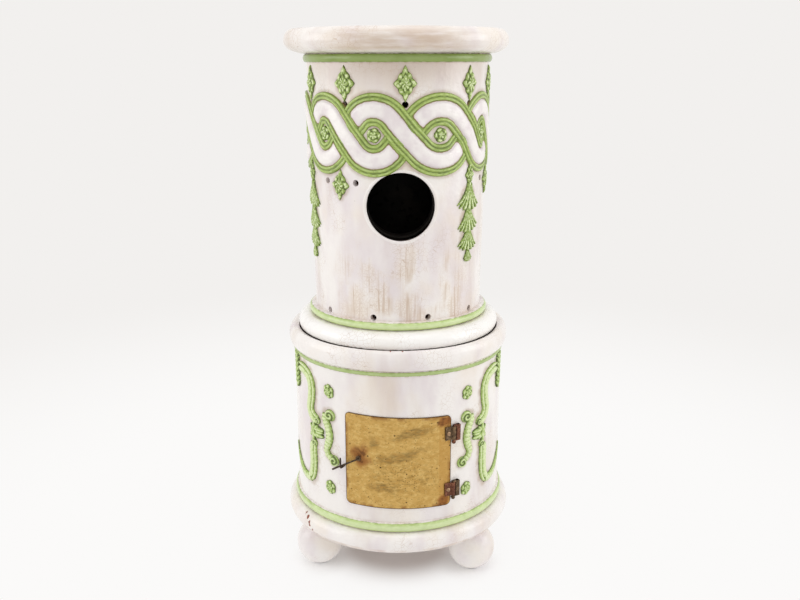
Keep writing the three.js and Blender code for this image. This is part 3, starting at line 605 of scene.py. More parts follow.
def ribbon_recipe(name: str, section: Outline, taper: Outline, swell: Outline) -> Recipe:
    """Builds the tree that rolls a strip of clay out along a path on a drum.

    Args:
        name: The tree's name.
        section: Points of its height from its middle (0) to its edge (1), as shares of 1.
        taper: Points of its width along the path.
        swell: Points of its height along the path.

    Returns:
        The recipe, whose source is a flat path with the value "room", how much width there is
        to the left and right of it before a bend folds over itself.
    """
    sizes = {label: "Float" for label in ("Half Width", "Height", "Root", "Beads", "Bead Depth")}
    recipe = Recipe(name, {"Steps": "Int", "Cells": "Int", **sizes, **LAYING})
    given = recipe.given
    columns, rows = recipe.plus(given["Steps"], 1), recipe.plus(given["Cells"], 1)
    made = recipe.add("GeometryNodeMeshGrid", {0: 1.0, 1: 1.0, 2: columns, 3: rows}).outputs[0]
    place = recipe.split(recipe.here())
    along, across = recipe.plus(place[0], 0.5), recipe.times(place[1], 2.0)
    line = recipe.add("GeometryNodeMeshToCurve", {0: given["Geometry"]}).outputs[0]
    sampled = {"Curves": line, "Value": recipe.stored("room"), "Factor": along}
    sample = recipe.add("GeometryNodeSampleCurve", sampled, data_type="FLOAT_VECTOR", mode="FACTOR").outputs
    left, right, _ = recipe.split(sample[0])
    ahead, _, upward = recipe.split(sample["Tangent"])
    width = recipe.add("ShaderNodeFloatCurve", {1: along}, curve=taper).outputs[0]
    full = recipe.times(across, given["Half Width"], width)
    side = recipe.most(recipe.math("MINIMUM", full, left), recipe.times(right, -1.0))
    share = recipe.math("ABSOLUTE", across, 0.0)
    shape = recipe.add("ShaderNodeFloatCurve", {1: share}, curve=section).outputs[0]
    tall = recipe.add("ShaderNodeFloatCurve", {1: along}, curve=swell).outputs[0]
    beat = recipe.math("SINE", recipe.times(along, given["Beads"], 2 * math.pi), 0.0)
    height = recipe.times(shape, tall, recipe.plus(recipe.times(beat, given["Bead Depth"]), 1.0))
    out = recipe.times(recipe.less(recipe.times(height, given["Height"]), given["Root"]), -1.0)
    normal = recipe.add("ShaderNodeCombineXYZ", {0: recipe.times(upward, -1.0), 2: ahead}).outputs[0]
    shift = recipe.vector("SCALE", normal, side).outputs[0]
    lift = recipe.add("ShaderNodeCombineXYZ", {1: out}).outputs[0]
    spot = recipe.vector("ADD", recipe.vector("ADD", sample["Position"], shift).outputs[0], lift).outputs[0]
    for label, value in (("across", recipe.math("DIVIDE", side, MM)), ("along", along), ("rise", height)):
        stored = {"Geometry": made, "Name": label, "Value": value}
        made = recipe.add("GeometryNodeStoreNamedAttribute", stored).outputs[0]
    recipe.end(recipe.lay_on_drum(recipe.set_at(made, spot)))
    return recipe


def scatter_recipe() -> Recipe:
    """Builds the tree that sets one ornament at many places on a drum.

    Returns:
        The recipe, whose source is a set of flat places with the values "turn" and "size".
    """
    recipe = Recipe("ornament set on the wall", {"Ornament": "Object", **LAYING})
    shape = recipe.add("GeometryNodeObjectInfo", {0: recipe.given["Ornament"]}).outputs["Geometry"]
    spin = recipe.add("ShaderNodeCombineXYZ", {1: recipe.stored("turn", "FLOAT")}).outputs[0]
    sets = {"Points": recipe.given["Geometry"], "Instance": shape, "Rotation": spin}
    set_out = recipe.add("GeometryNodeInstanceOnPoints", {**sets, "Scale": recipe.stored("size")})
    real = recipe.add("GeometryNodeRealizeInstances", {0: set_out.outputs[0]})
    recipe.end(recipe.lay_on_drum(real.outputs[0]))
    return recipe


TURNING = turning_recipe()
SCATTER = scatter_recipe()


@dataclass(frozen=True)
class Place:
    """Where one ornament is set on a wall."""

    bearing: float
    z: float
    turn: float = 0.0
    wide: float = 1.0
    tall: float = 1.0


def turned(profile: Outline, around: int, waver: float = 0.0) -> Form:
    """Turns a closed profile about the stove's axis.

    Args:
        profile: Its points as radius and height; the last joins the first unless both are on the axis.
        around: The number of facets.
        waver: How uneven the turning is.

    Returns:
        The closed form.
    """
    points = list(profile)
    if max(points[0][0], points[-1][0]) > 0:
        points.append(points[0])
    source = bpy.data.meshes.new("profile")
    source.from_pydata([(r * MM, 0.0, z * MM) for r, z in points], [], [])
    return TURNING.run(source, {"Around": around, "Rows": len(points), "Waver": waver * MM})


def scattered(ornament: Form, places: list[Place], ground: Ground) -> Form:
    """Sets an ornament at several places on a drum.

    Args:
        ornament: The ornament, flat.
        places: The places.
        ground: The drum's wall.

    Returns:
        All of them in one form.
    """
    source = bpy.data.meshes.new("places")
    spots = [ground.flat(p.bearing, p.z) for p in places]
    source.from_pydata([(x * MM, 0.0, z * MM) for x, z in spots], [], [])
    source.attributes.new("turn", "FLOAT", "POINT").data.foreach_set(
        "value", [math.radians(p.turn) for p in places]
    )
    sizes = [s for p in places for s in (p.wide, 1.0, p.tall)]
    source.attributes.new("size", "FLOAT_VECTOR", "POINT").data.foreach_set("vector", sizes)
    template = placed("template", ornament.mesh("template"))
    made = SCATTER.run(source, {"Ornament": template, **ground.sizes()})
    bpy.data.objects.remove(template)
    return made


@dataclass
class Ribbon:
    """A strip of clay laid along a path on a drum."""

    recipe: Recipe
    ground: Ground
    half_width: float
    height: float
    root: float = 1.0
    cells: int = 12
    pitch: float = 2.4
    beads: float = 0.0
    bead_depth: float = 0.0

    def laid(self, path: Outline) -> Form:
        """Lays the strip along a path of bearings and heights.

        Args:
            path: The path.

        Returns:
            The strip as a closed form.
        """
        flat = np.array([self.ground.flat(b, z) for b, z in path])
        line = smooth_path(flat, max(24, len(flat)))
        length = np.linalg.norm(np.diff(line, axis=0), axis=1).sum()
        steps = max(10, round(length / self.pitch))
        line = smooth_path(flat, steps)
        way = np.diff(line, axis=0)
        turn = np.cross(way[:-1], way[1:]) / (
            np.linalg.norm(way[:-1], axis=1) * np.linalg.norm(way[1:], axis=1)
        )
        turn = np.arcsin(np.clip(turn, -1, 1))
        kernel = np.ones(5) / 5
        turn = np.convolve(np.pad(np.concatenate([[0], turn, [0]]), 2, mode="edge"), kernel, "valid")
        reach = 0.93 * (length / steps) / np.maximum(np.abs(turn), 1e-6)
        wide = 10 * self.half_width
        room = np.stack([np.where(turn > 0, reach, wide), np.where(turn < 0, reach, wide), turn * 0], 1)
        source = bpy.data.meshes.new("path")
        edges = [(i, i + 1) for i in range(steps)]
        source.from_pydata([(x * MM, 0.0, z * MM) for x, z in line], edges, [])
        source.attributes.new("room", "FLOAT_VECTOR", "POINT").data.foreach_set("vector", (room * MM).ravel())
        sizes = {"Half Width": self.half_width * MM, "Height": self.height * MM, "Root": self.root * MM}
        sizes.update(
            {"Steps": steps, "Cells": self.cells, "Beads": self.beads, "Bead Depth": self.bead_depth}
        )
        made = self.recipe.run(source, {**sizes, **self.ground.sizes()})
        return self.closed(made, steps)

    def closed(self, form: Form, steps: int) -> Form:
        """Closes a strip below with its edges brought down into the wall.

        Args:
            form: The open strip.
            steps: Its number of steps.

        Returns:
            The closed strip.
        """
        rows = self.cells + 1
        index = np.arange((steps + 1) * rows).reshape(steps + 1, rows)
        deep = 3.0
        rims = []
        for edge in (index[:, 0], index[:, -1]):
            rim = form.points[edge].copy()
            reach = np.hypot(rim[:, 0], rim[:, 1])
            rim[:, :2] *= ((reach - deep) / reach)[:, None]
            rims.append(rim)
        count = len(form.points)
        low, high = count + np.arange(steps + 1), count + steps + 1 + np.arange(steps + 1)
        faces = list(form.faces)
        for i in range(steps):
            faces.append([index[i, 0], index[i + 1, 0], low[i + 1], low[i]])
            faces.append([index[i, -1], high[i], high[i + 1], index[i + 1, -1]])
            faces.append([low[i], low[i + 1], high[i + 1], high[i]])
        for i in (0, steps):
            faces.append([*index[i].tolist(), int(high[i]), int(low[i])])
        faces = [[int(v) for v in face] for face in faces]
        values = {}
        for name, value in form.values.items():
            values[name] = np.concatenate([value, value[index[:, 0]], value[index[:, -1]]])
        return Form(np.vstack([form.points, *rims]), faces, values)


def distance_to(points: np.ndarray, spots: np.ndarray) -> np.ndarray:
    """Measures how far points are from the nearest of many discs, along the wall.

    Args:
        points: The points.
        spots: The discs as bearing, height and radius.

    Returns:
        The distance to the nearest disc's edge, below 0 inside it.
    """
    bearing = np.degrees(np.arctan2(points[:, 0], -points[:, 1]))
    reach = np.hypot(points[:, 0], points[:, 1])
    nearest = np.full(len(points), 1e3)
    for start in range(0, len(points), 4000):
        part = slice(start, start + 4000)
        turn = (bearing[part, None] - spots[None, :, 0] + 180) % 360 - 180
        across = np.radians(turn) * reach[part, None]
        away = np.hypot(across, points[part, 2, None] - spots[None, :, 1]) - spots[None, :, 2]
        nearest[part] = away.min(1)
    return nearest


def pierced(form: Form, cutters: list[Form]) -> Form:
    """Cuts holes in a closed form.

    Args:
        form: The form.
        cutters: The closed forms of the holes.

    Returns:
        The form with its holes.
    """
    things = [placed(n, f.mesh(n)) for n, f in (("body", form), ("holes", Form.joined(cutters)))]
    modifier = things[0].modifiers.new("cut", "BOOLEAN")
    modifier.operation, modifier.object, modifier.solver = "DIFFERENCE", things[1], "MANIFOLD"
    graph = bpy.context.evaluated_depsgraph_get()
    made = bpy.data.meshes.new_from_object(things[0].evaluated_get(graph), depsgraph=graph)
    for thing in things:
        bpy.data.objects.remove(thing)
    return Form.from_mesh(made)


def borer(radius: float, bearing: float, z: float, start: float, end: float, sides: int) -> Form:
    """Makes the round tool of a hole along the stove's radius.

    Args:
        radius: The hole's radius.
        bearing: Its bearing.
        z: Its height.
        start: The tool's inner end.
        end: Its outer end.
        sides: Its number of sides.

    Returns:
        The tool.
    """
    return rod(np.array([(0, -start, z), (0, -end, z)]), radius, sides).moved(bearing=bearing)


# ------------------------------------------------------------------ finishes


@dataclass(frozen=True)
class Brush(Wiring):
    """Works out masks and colours in one material's tree, at the place "where" on the piece."""

    tree: bpy.types.NodeTree
    where: Socket | None = None

    def window(
        self, value: Value, start: float, full: float, fade: float | None = None, gone: float | None = None
    ) -> Value:
        """Makes a mask from a value: it rises between two limits and may fall between two others.

        Args:
            value: The value's socket.
            start: Where the mask begins.
            full: Where it is full.
            fade: Where it begins to fall, if it does.
            gone: Where it has gone.

        Returns:
            The mask's socket.
        """
        slopes = [(start, full)] if fade is None else [(start, full), (gone, fade)]
        smooth = {"interpolation_type": "SMOOTHSTEP"}
        sides = [
            self.add("ShaderNodeMapRange", {0: value, "From Min": a, "From Max": b}, **smooth)
            for a, b in slopes
        ]
        return self.times(*[side.outputs[0] for side in sides])

    def cloud(
        self,
        size: float,
        low: float,
        high: float,
        stretch: tuple = (1.0, 1.0, 1.0),
        seed: float = 0.0,
        detail: float = 3.0,
    ) -> Value:
        """Makes a mask of soft patches.

        Args:
            size: The patches' size in millimetres.
            low: The noise value at which a patch begins.
            high: The value at which it is full.
            stretch: How the pattern is drawn out, below 1 along an axis to make it longer.
            seed: Which of many such patterns it is.
            detail: How fine its edges are.

        Returns:
            The mask's socket.
        """
        moved = (seed * 0.37, seed * 0.71, seed * 0.53)
        placed = self.add("ShaderNodeMapping", {"Vector": self.where, "Scale": stretch, "Location": moved})
        pattern = {"Vector": placed.outputs[0], "Scale": 1 / (size * MM), "Detail": detail}
        return self.window(self.add("ShaderNodeTexNoise", pattern).outputs[0], low, high)

    def coats(self, ground: Value | str, layers: list[tuple]) -> Value:
        """Lays coats of colour over a ground.

        Args:
            ground: The ground's hex value or socket.
            layers: Each coat's colour and then the masks whose product lays it on, the lowest first.

        Returns:
            The socket of the whole colour.
        """
        below = linear(ground) if isinstance(ground, str) else ground
        for colour, *masks in layers:
            coat = linear(colour) if isinstance(colour, str) else colour
            mixed = self.add("ShaderNodeMix", {0: self.times(*masks), 6: below, 7: coat}, data_type="RGBA")
            below = mixed.outputs[2]
        return below

    def stored(self, name: str) -> Socket:
        """Reads a value that was stored at the piece's points."""
        return self.add("ShaderNodeAttribute", attribute_name=name).outputs["Fac"]

    def cells(self, place: Socket, size: float, seed: float, feature: str) -> list[Socket]:
        """Divides the piece into random cells.

        Args:
            place: The place on the piece.
            size: The cells' size in millimetres.
            seed: Which of many such patterns it is.
            feature: What is measured in a cell.

        Returns:
            The outputs of the pattern's node.
        """
        shifted = self.add("ShaderNodeMapping", {"Vector": place, "Location": (seed, seed, seed)})
        pattern = {"Vector": shifted.outputs[0], "Scale": 1 / (size * MM)}
        return self.add("ShaderNodeTexVoronoi", pattern, feature=feature).outputs

    def crackle(self, size: float, line: float, seed: float) -> Value:
        """Draws the fine net of cracks in an old glaze.

        Args:
            size: The cells' size in millimetres.
            line: The width of a crack in millimetres.
            seed: Which of many such nets it is.

        Returns:
            The mask's socket.
        """
        pattern = {"Vector": self.where, "Scale": 1 / (4 * size * MM), "Detail": 2.0}
        bent = self.add("ShaderNodeTexNoise", pattern).outputs[1]
        place = self.vector("ADD", self.where, self.vector("SCALE", bent, size * MM).outputs[0]).outputs[0]
        return self.window(self.cells(place, size, seed, "DISTANCE_TO_EDGE")[0], line / size, 0.0)

    def specks(self, size: float, dot: float, rare: float, seed: float) -> Value:
        """Scatters small pits or specks.

        Args:
            size: Their spacing in millimetres.
            dot: A speck's radius in millimetres.
            rare: The share of the cells that stay empty.
            seed: Which of many such patterns it is.

        Returns:
            The mask's socket.
        """
        cells = self.cells(self.where, size, seed, "F1")
        chance = self.split(cells["Color"])[0]
        near = self.window(cells["Distance"], dot / size, 0.5 * dot / size)
        return self.times(near, self.window(chance, rare, rare + 0.02))


@dataclass(frozen=True)
class Finish:
    """A finish of the stove: the base of all of them."""

    name: str = "finish"
    roughness: float = 0.5
    metallic: float = 0.0
    bump: float = 0.4

    def material(self) -> bpy.types.Material:
        """Makes the finish's material, once.

        Returns:
            The material.
        """
        made = bpy.data.materials.get(self.name)
        if made is None:
            made = bpy.data.materials.new(self.name)
            made.use_nodes = True
            made.node_tree.nodes.clear()
            brush = Brush(made.node_tree, add_node(made.node_tree, "ShaderNodeTexCoord").outputs["Object"])
            colour, roughness, height = self.dress(brush)
            raised = brush.add(
                "ShaderNodeBump", {"Height": height, "Distance": self.bump * MM, "Strength": 1.0}
            )
            looks = {"Base Color": colour, "Roughness": roughness, "Metallic": self.metallic}
            shader = brush.add("ShaderNodeBsdfPrincipled", {**looks, "Normal": raised.outputs[0]})
            brush.add("ShaderNodeOutputMaterial", {0: shader.outputs[0]})
        return made

    def dress(self, brush: Brush) -> Look:
        """Works out what the finish looks like.

        Args:
            brush: What draws in the material's tree.

        Returns:
            The colour, the roughness and the bump's height, each as a socket or a value.
        """
        raise NotImplementedError

    def dulled(self, brush: Brush, dull: Value, rough: float = 0.85) -> Value:
        """Gives the finish's own roughness, and a higher one where it is dull."""
        ends = {"To Min": self.roughness, "To Max": rough}
        return brush.add("ShaderNodeMapRange", {0: dull, **ends}).outputs[0]


class Tone:
    """Colours of the glaze that several finishes share."""

    WHITE = "#f4efeb"  # tin white
    WARM = "#efe3d4"
    LILAC = "#ddd0d4"
    BUFF = "#bfa488"
    HALO = "#a98a62"  # where the copper green bled into the white
    RIM_SHADOW = "#cbbaac"  # where the glaze ran thin under the rim
    STREAK = "#ad8456"  # painted shadow of the rim on the wall below it
    OLIVE = "#55602a"
    CLAY = "#8d4c35"  # terracotta body under the glaze
    # dark dirt and soot; also laid as painted shade where the drums meet and where the feet stand
    DIRT = "#33261e"


@dataclass(frozen=True)
class TinGlaze(Finish):
    """Tin glaze on a terracotta body, dipped and fired: opaque, glassy, crazed with age, with
    copper green brushed over the beads and bleeding a little at its edges."""

    name: str = "tin_glaze"
    roughness: float = 0.2
    bump: float = 0.5
    stain: float = 0.5
    seed: float = 1.0
    leaf: str = "#bed387"
    light: str = "#e4efc2"
    dark: str = "#93ab58"
    streaks: tuple[float, float] | None = None
    rim_stain_and_shadow_z: float | None = None
    worn_edge: float | None = None

    def green(self, brush: Brush) -> Value:
        """Mixes the brushed copper green.

        Args:
            brush: What draws in the material's tree.

        Returns:
            The socket of its colour.
        """
        strokes = brush.cloud(9, 0.4, 0.62, (1, 1, 3.5), self.seed + 3)
        pools = brush.cloud(26, 0.48, 0.66, seed=self.seed + 4)
        return brush.coats(self.leaf, [(self.light, strokes, 0.3), (self.dark, pools, 0.45)])

    def stains(self, brush: Brush) -> list[tuple]:
        """Works out the stains that this drum has: iron streaks, a warm rim or a rubbed edge; with them the
        painted shadow under the rim and a painted highlight on the base torus.

        Args:
            brush: What draws in the material's tree.

        Returns:
            The coats, the lowest first.
        """
        x, y, z = brush.split(brush.where)
        front = brush.window(y, 0.02, -0.1)
        layers = []
        if self.streaks:
            low, high = self.streaks
            lines = brush.cloud(3.4, 0.48, 0.66, (1, 1, 0.03), self.seed + 8, 4.0)
            broad = brush.cloud(11, 0.5, 0.7, (1, 1, 0.07), self.seed + 9, 4.0)
            patches = brush.cloud(42, 0.4, 0.6, (1, 1, 0.7), self.seed + 10, 4.0)
            fall = brush.window(z, high * MM, (0.45 * high + 0.55 * low) * MM)
            fall = brush.times(fall, brush.window(z, (low - 7) * MM, low * MM))
            place = brush.times(fall, patches, front, brush.window(x, -0.13, -0.07, 0.1, 0.14))
            net = brush.times(brush.crackle(5, 0.6, self.seed + 2), 0.6)
            marks = brush.most(lines, brush.times(broad, 0.7), net)
            layers.append((Tone.WARM, place, 0.5))
            # painted highlight: the base torus is lightened to near white, as if lit strongly from above
            layers.append(("#fdfcf9", brush.window(z, (low - 12) * MM, (low - 20) * MM), 0.75))
            layers.append((Tone.STREAK, marks, place, 0.5))
        if self.rim_stain_and_shadow_z:
            middle = brush.window(x, -0.17, -0.03, 0.05, 0.17)
            bands = brush.cloud(14, 0.0, 0.75, (0.3, 0.3, 2.4), self.seed + 11, 5.0)
            lip = brush.window(z, *[(self.rim_stain_and_shadow_z + rise) * MM for rise in (-10, -2, 14, 36)])
            # painted shadow that the rim casts on the wall below it, strongest at the front middle
            under = brush.window(z, *[(self.rim_stain_and_shadow_z + rise) * MM for rise in (-90, -25, -20, -8)])
            share = brush.plus(brush.times(middle, 0.45), 0.35)
            layers.append((Tone.RIM_SHADOW, under, front, share))
            layers.append((Tone.BUFF, lip, front, middle, bands, 0.75))
        if self.worn_edge:
            line = brush.window(z, *[(self.worn_edge + rise) * MM for rise in (-9, -3, 0, 4)])
            rubbed = brush.cloud(30, 0.25, 0.75, seed=self.seed + 12, detail=5.0)
            layers.append((Tone.STREAK, line, rubbed, 0.5))
        return layers

    def dress(self, brush: Brush) -> Look:
        """Paints the glaze, its stains, the copper green, the chips and the soot, with a painted highlight on
        the beads' crests and painted shade where the drums meet and where the feet stand.

        Args:
            brush: What draws in the material's tree.

        Returns:
            The colour, the roughness and the bump's height.
        """
        near, green = brush.stored("near"), brush.stored("green")
        chip, inside = brush.stored("chip"), brush.stored("inside")
        ragged = brush.cloud(7, 0.25, 0.75, seed=self.seed)
        soft = brush.cloud(55, 0.42, 0.7, (1, 1, 0.4), self.seed)
        warm = brush.cloud(80, 0.45, 0.7, seed=self.seed + 1)
        worn = brush.cloud(60, 0.5, 0.8, (1, 1, 0.3), self.seed + 2, 5.0)
        crazed = brush.cloud(70, 0.5, 0.66, seed=self.seed + 5)
        halo = brush.plus(brush.times(ragged, 0.25), 0.3)
        body = brush.coats(Tone.WHITE, [
            (Tone.LILAC, soft, 0.6),
            (Tone.WARM, warm, 0.55),
            (Tone.BUFF, worn, self.stain),
            *self.stains(brush),
            (Tone.HALO, brush.window(near, 7.0, -1.0), halo),
            (Tone.HALO, brush.window(green, -3.5, 0.8), ragged, 0.3),
            (Tone.BUFF, brush.crackle(8, 0.3, self.seed), crazed, 0.6),
            (Tone.DIRT, brush.specks(24, 0.7, 0.6, self.seed), 0.6),
        ])
        edge = brush.plus(green, brush.times(ragged, 0.5))
        tint = brush.times(brush.stored("tint"), brush.plus(0.9, brush.times(soft, 0.15)))
        # painted highlight along the middle of each green bead
        crest = brush.times(brush.window(green, 2.0, 6.5), 0.5)
        paint = brush.coats(self.green(brush), [(self.light, crest), ("#71892f", tint)])
        body = brush.coats(body, [(paint, brush.window(edge, 0.9, 1.6))])
        line = brush.window(edge, 0.8, 1.3, 1.6, 2.6)
        body = brush.coats(body, [(Tone.OLIVE, line, ragged, 0.5)])
        chipped = brush.plus(chip, brush.times(ragged, 2.0))
        raw = brush.most(brush.window(chipped, 0.6, 1.2), brush.window(inside, 0.55, 0.75))
        # painted shade, with some dirt, where the heating drum sits in the fire drum's recess and where the
        # feet stand on the floor; it joins the soot inside the drums below
        contact_shade_and_grime_mask = brush.window(brush.plus(brush.stored("dirt"), ragged), 0.3, 1.3)
        soot = brush.most(contact_shade_and_grime_mask, brush.times(brush.window(inside, 0.55, 0.75), 0.75))
        colour = brush.coats(body, [(Tone.CLAY, raw), (Tone.DIRT, soot)])
        rough = self.dulled(brush, brush.most(raw, soot))
        ripple = brush.cloud(13, 0.2, 0.8, seed=self.seed + 6, detail=2.0)
        height = brush.less(ripple, brush.times(raw, 0.6))
        return colour, rough, height


@dataclass(frozen=True)
class BandPaint(TinGlaze):
    """The same glaze on the woven band: white down its middle, and on each side two green
    ridges with a dark line brushed in the groove between them."""

    name: str = "band_glaze"
    leaf: str = "#96ae4e"
    light: str = "#c0d285"
    dark: str = "#6a8030"
    groove: float = 20.3

    def dress(self, brush: Brush) -> Look:
        """Paints the strand's ridges and grooves across its width, with painted highlight on the ridge tops
        and painted shade at the white band's edges and on the outer slope.

        Args:
            brush: What draws in the material's tree.

        Returns:
            The colour, the roughness and the bump's height.
        """
        across = brush.math("ABSOLUTE", brush.stored("across"), 0.0)
        ragged = brush.cloud(6, 0.25, 0.75, seed=self.seed)
        edge = brush.plus(brush.stored("edge"), brush.times(ragged, 0.8))
        soft = brush.cloud(30, 0.42, 0.7, seed=self.seed)
        white = brush.coats(Tone.WHITE, [
            (Tone.LILAC, soft, 0.6),
            # painted shade: lilac towards the edges of the white band, where it curves down
            (Tone.LILAC, brush.window(edge, 7.0, 1.0), 0.6),
        ])
        line = brush.less(across, brush.times(ragged, 1.3))
        groove = brush.window(
            line, self.groove - 2.6, self.groove - 1.4, self.groove - 0.7, self.groove + 0.8
        )
        deep = brush.plus(brush.times(ragged, 0.5), 0.35)
        # painted highlight on the tops of the two green ridges
        outer = brush.times(brush.window(across, 21.4, 22.6, 23.6, 25.4), ragged, 0.9)
        inner = brush.times(brush.window(across, 14.6, 16.0, 16.8, 18.4), ragged, 0.9)
        green = brush.coats(self.green(brush), [
            (self.light, brush.most(outer, inner)),
            (Tone.OLIVE, groove, deep),
            # painted shade on the strand's outer slope
            (self.dark, brush.window(across, 24.6, 26.4), 0.8),
            (Tone.HALO, brush.window(across, 26.0, 27.0), 0.8),
        ])
        rim = brush.times(brush.window(edge, -2.0, -0.4), brush.plus(deep, 0.15))
        colour = brush.coats(green, [
            (Tone.OLIVE, rim),
            (Tone.HALO, brush.window(edge, -0.2, 0.3)),
            (white, brush.window(edge, 0.5, 1.3)),
        ])
        ripple = brush.cloud(11, 0.2, 0.8, seed=self.seed + 6, detail=2.0)
        return colour, self.roughness, ripple


@dataclass(frozen=True)
class ReliefPaint(TinGlaze):
    """Copper green over carved relief, pale on the ridges and dark in the hollows: partly the glaze running
    off the ridges and pooling, partly painted highlight and painted shade."""

    name: str = "relief_glaze"
    leaf: str = "#9cb85a"
    light: str = "#e2edb8"
    dark: str = "#6c8338"
    pale: float = 0.6
    deep: float = 0.46
    mottled: float = 0.5

    def dress(self, brush: Brush) -> Look:
        """Paints the relief after its height.

        Args:
            brush: What draws in the material's tree.

        Returns:
            The colour, the roughness and the bump's height.
        """
        rise = brush.stored("rise")
        mottle = brush.cloud(4.0, 0.3, 0.7, seed=self.seed + 1)
        swing = brush.times(brush.less(mottle, 0.5), self.mottled)
        level = brush.plus(rise, swing)
        # painted highlight on the high places and painted shade in the hollows, read from the carved height
        colour = brush.coats(self.leaf, [
            (self.light, brush.window(level, self.pale, self.pale + 0.4), 0.9),
            (self.dark, brush.window(level, self.deep, self.deep - 0.16)),
            (Tone.OLIVE, brush.window(level, self.deep - 0.12, self.deep - 0.36), 0.85),
        ])
        return colour, self.roughness, brush.times(mottle, 0.7)


@dataclass(frozen=True)
class OldBrass(Finish):
    """Rolled brass sheet, never lacquered: dull gold, with heat stains by the latch and in the
    corners, smears of soot and small pits."""

    name: str = "old_brass"
    roughness: float = 0.46
    metallic: float = 0.85
    bump: float = 0.25
    latch: tuple[float, float] = (-70.0, 264.5)
    half: float = 92.0
    top: float = 348.0
    lean: float = 0.26

    def spot(self, brush: Brush, flat: Socket, x: float, z: float, wide: float, tall: float) -> Value:
        """Makes a soft round mask at a place on the door.

        Args:
            brush: What draws in the material's tree.
            flat: The ragged place on the door.
            x: The middle's X in millimetres.
            z: Its height.
            wide: The mask's half width.
            tall: Its half height.

        Returns:
            The mask's socket.
        """
        scale = (1 / (wide * MM), 0.0, 1 / (tall * MM))
        start = (-x / wide, 0.0, -z / tall)
        local = brush.add("ShaderNodeMapping", {"Vector": flat, "Location": start, "Scale": scale})
        return brush.window(brush.vector("LENGTH", local.outputs[0]).outputs["Value"], 1.0, 0.35)

    def dress(self, brush: Brush) -> Look:
        """Paints the sheet with its stains, smears and pits.

        Args:
            brush: What draws in the material's tree.

        Returns:
            The colour, the roughness and the bump's height.
        """
        noise = brush.add(
            "ShaderNodeTexNoise", {"Vector": brush.where, "Scale": 1 / (22 * MM), "Detail": 5.0}
        )
        centred = brush.vector("SUBTRACT", noise.outputs[1], (0.5, 0.5, 0.5)).outputs[0]
        flat = brush.vector("ADD", brush.where, brush.vector("SCALE", centred, 26 * MM).outputs[0]).outputs[0]
        x, z = self.latch
        rusty = [
            (x + 5, z + 4, 22, 30), (self.half - 9, self.top - 18, 17, 14), (self.half - 12, 180, 18, 14)
        ]
        rust = brush.most(*[self.spot(brush, flat, *spot) for spot in rusty])
        right, back, up = brush.split(flat)
        fallen = brush.less(up, brush.times(right, self.lean))
        leant = brush.add("ShaderNodeCombineXYZ", {0: right, 1: back, 2: fallen}).outputs[0]
        smeared = [
            (leant, 22, 308, 48, 13), (leant, 2, 272, 64, 14), (flat, -44, 297, 12, 16),
            (flat, -30, 212, 34, 10),
        ]
        smear = brush.most(*[self.spot(brush, *spot) for spot in smeared])
        worn = self.spot(brush, flat, 10, 230, 80, 46)
        dark = brush.most(brush.specks(5, 1.0, 0.45, 2.0), brush.specks(11, 2.0, 0.7, 5.0))
        strip = brush.window(brush.split(brush.where)[0], 71.0 * MM, 72.5 * MM)
        margin = brush.stored("margin")
        colour = brush.coats("#cfa962", [
            ("#b98f48", brush.cloud(15, 0.4, 0.66, (1, 1, 1.4), 1.0, 7.0), 0.5),
            ("#e2c27c", brush.cloud(9, 0.45, 0.7, (1, 1, 1.6), 2.0, 6.0), 0.6),
            ("#7a5f30", worn, brush.specks(4.2, 1.3, 0.3, 9.0), 0.8),
            ("#93763e", worn, brush.cloud(7, 0.45, 0.7, (0.6, 1, 1.5), 9.0, 3.0), 0.55),
            ("#9b7a3f", brush.cloud(2.6, 0.5, 0.68, (0.7, 1, 1.3), 10.0, 4.0), 0.4),
            ("#c0924c", strip, 0.5),
            ("#877a50", smear, brush.cloud(5, 0.3, 0.65, (0.45, 1, 1.7), 3.0, 6.0), 0.5),
            ("#9f6539", rust, 0.75),
            ("#66402a", rust, brush.cloud(10, 0.5, 0.66, seed=6.0), 0.6),
            ("#8a5a30", brush.window(margin, 9.0, 1.5), brush.cloud(18, 0.45, 0.62, seed=7.0), 0.7),
            ("#3c2c1a", dark, brush.cloud(36, 0.36, 0.56, seed=4.0), 0.8),
            ("#4a3320", brush.window(margin, 1.9, 0.9), 0.85),
        ])
        dull = brush.most(rust, smear, dark)
        rough = self.dulled(brush, dull, 0.8)
        dents = brush.cloud(30, 0.2, 0.8, seed=8.0, detail=4.0)
        return colour, rough, brush.less(dents, brush.times(dark, 0.6))


@dataclass(frozen=True)
class AgedMetal(Finish):
    """Metal with a dark skin that hands and heat have worn: the high places show through."""

    name: str = "aged_metal"
    skin: str = "#4b3026"
    worn: str = "#7c5238"
    crust: str = "#2b201b"
    grain: float = 3.0
    roughness: float = 0.5
    metallic: float = 0.75
    bump: float = 0.15

    def dress(self, brush: Brush) -> Look:
        """Paints the skin, the worn places and the crust.

        Args:
            brush: What draws in the material's tree.

        Returns:
            The colour, the roughness and the bump's height.
        """
        rubbed = brush.cloud(self.grain * 3, 0.45, 0.65, seed=2.0, detail=5.0)
        spots = brush.cloud(self.grain, 0.55, 0.7, seed=3.0)
        colour = brush.coats(self.skin, [(self.worn, rubbed, 0.7), (self.crust, spots, 0.8)])
        return colour, self.dulled(brush, spots), spots


@dataclass(frozen=True)
class Fireclay(Finish):
    """Pressed firebrick: open and gritty, buff where clean, black with soot where the fire lies."""

    name: str = "fireclay"
    roughness: float = 0.95
    bump: float = 0.6

    def dress(self, brush: Brush) -> Look:
        """Paints the grit and the soot.

        Args:
            brush: What draws in the material's tree.

        Returns:
            The colour, the roughness and the bump's height.
        """
        grit = brush.cloud(2.4, 0.35, 0.65, seed=1.0)
        soot = brush.cloud(90, 0.35, 0.62, (1, 1, 0.5), 2.0, 5.0)
        colour = brush.coats("#a88262", [("#8a6448", grit, 0.6), ("#2a2421", soot, 0.85)])
        return colour, self.roughness, grit


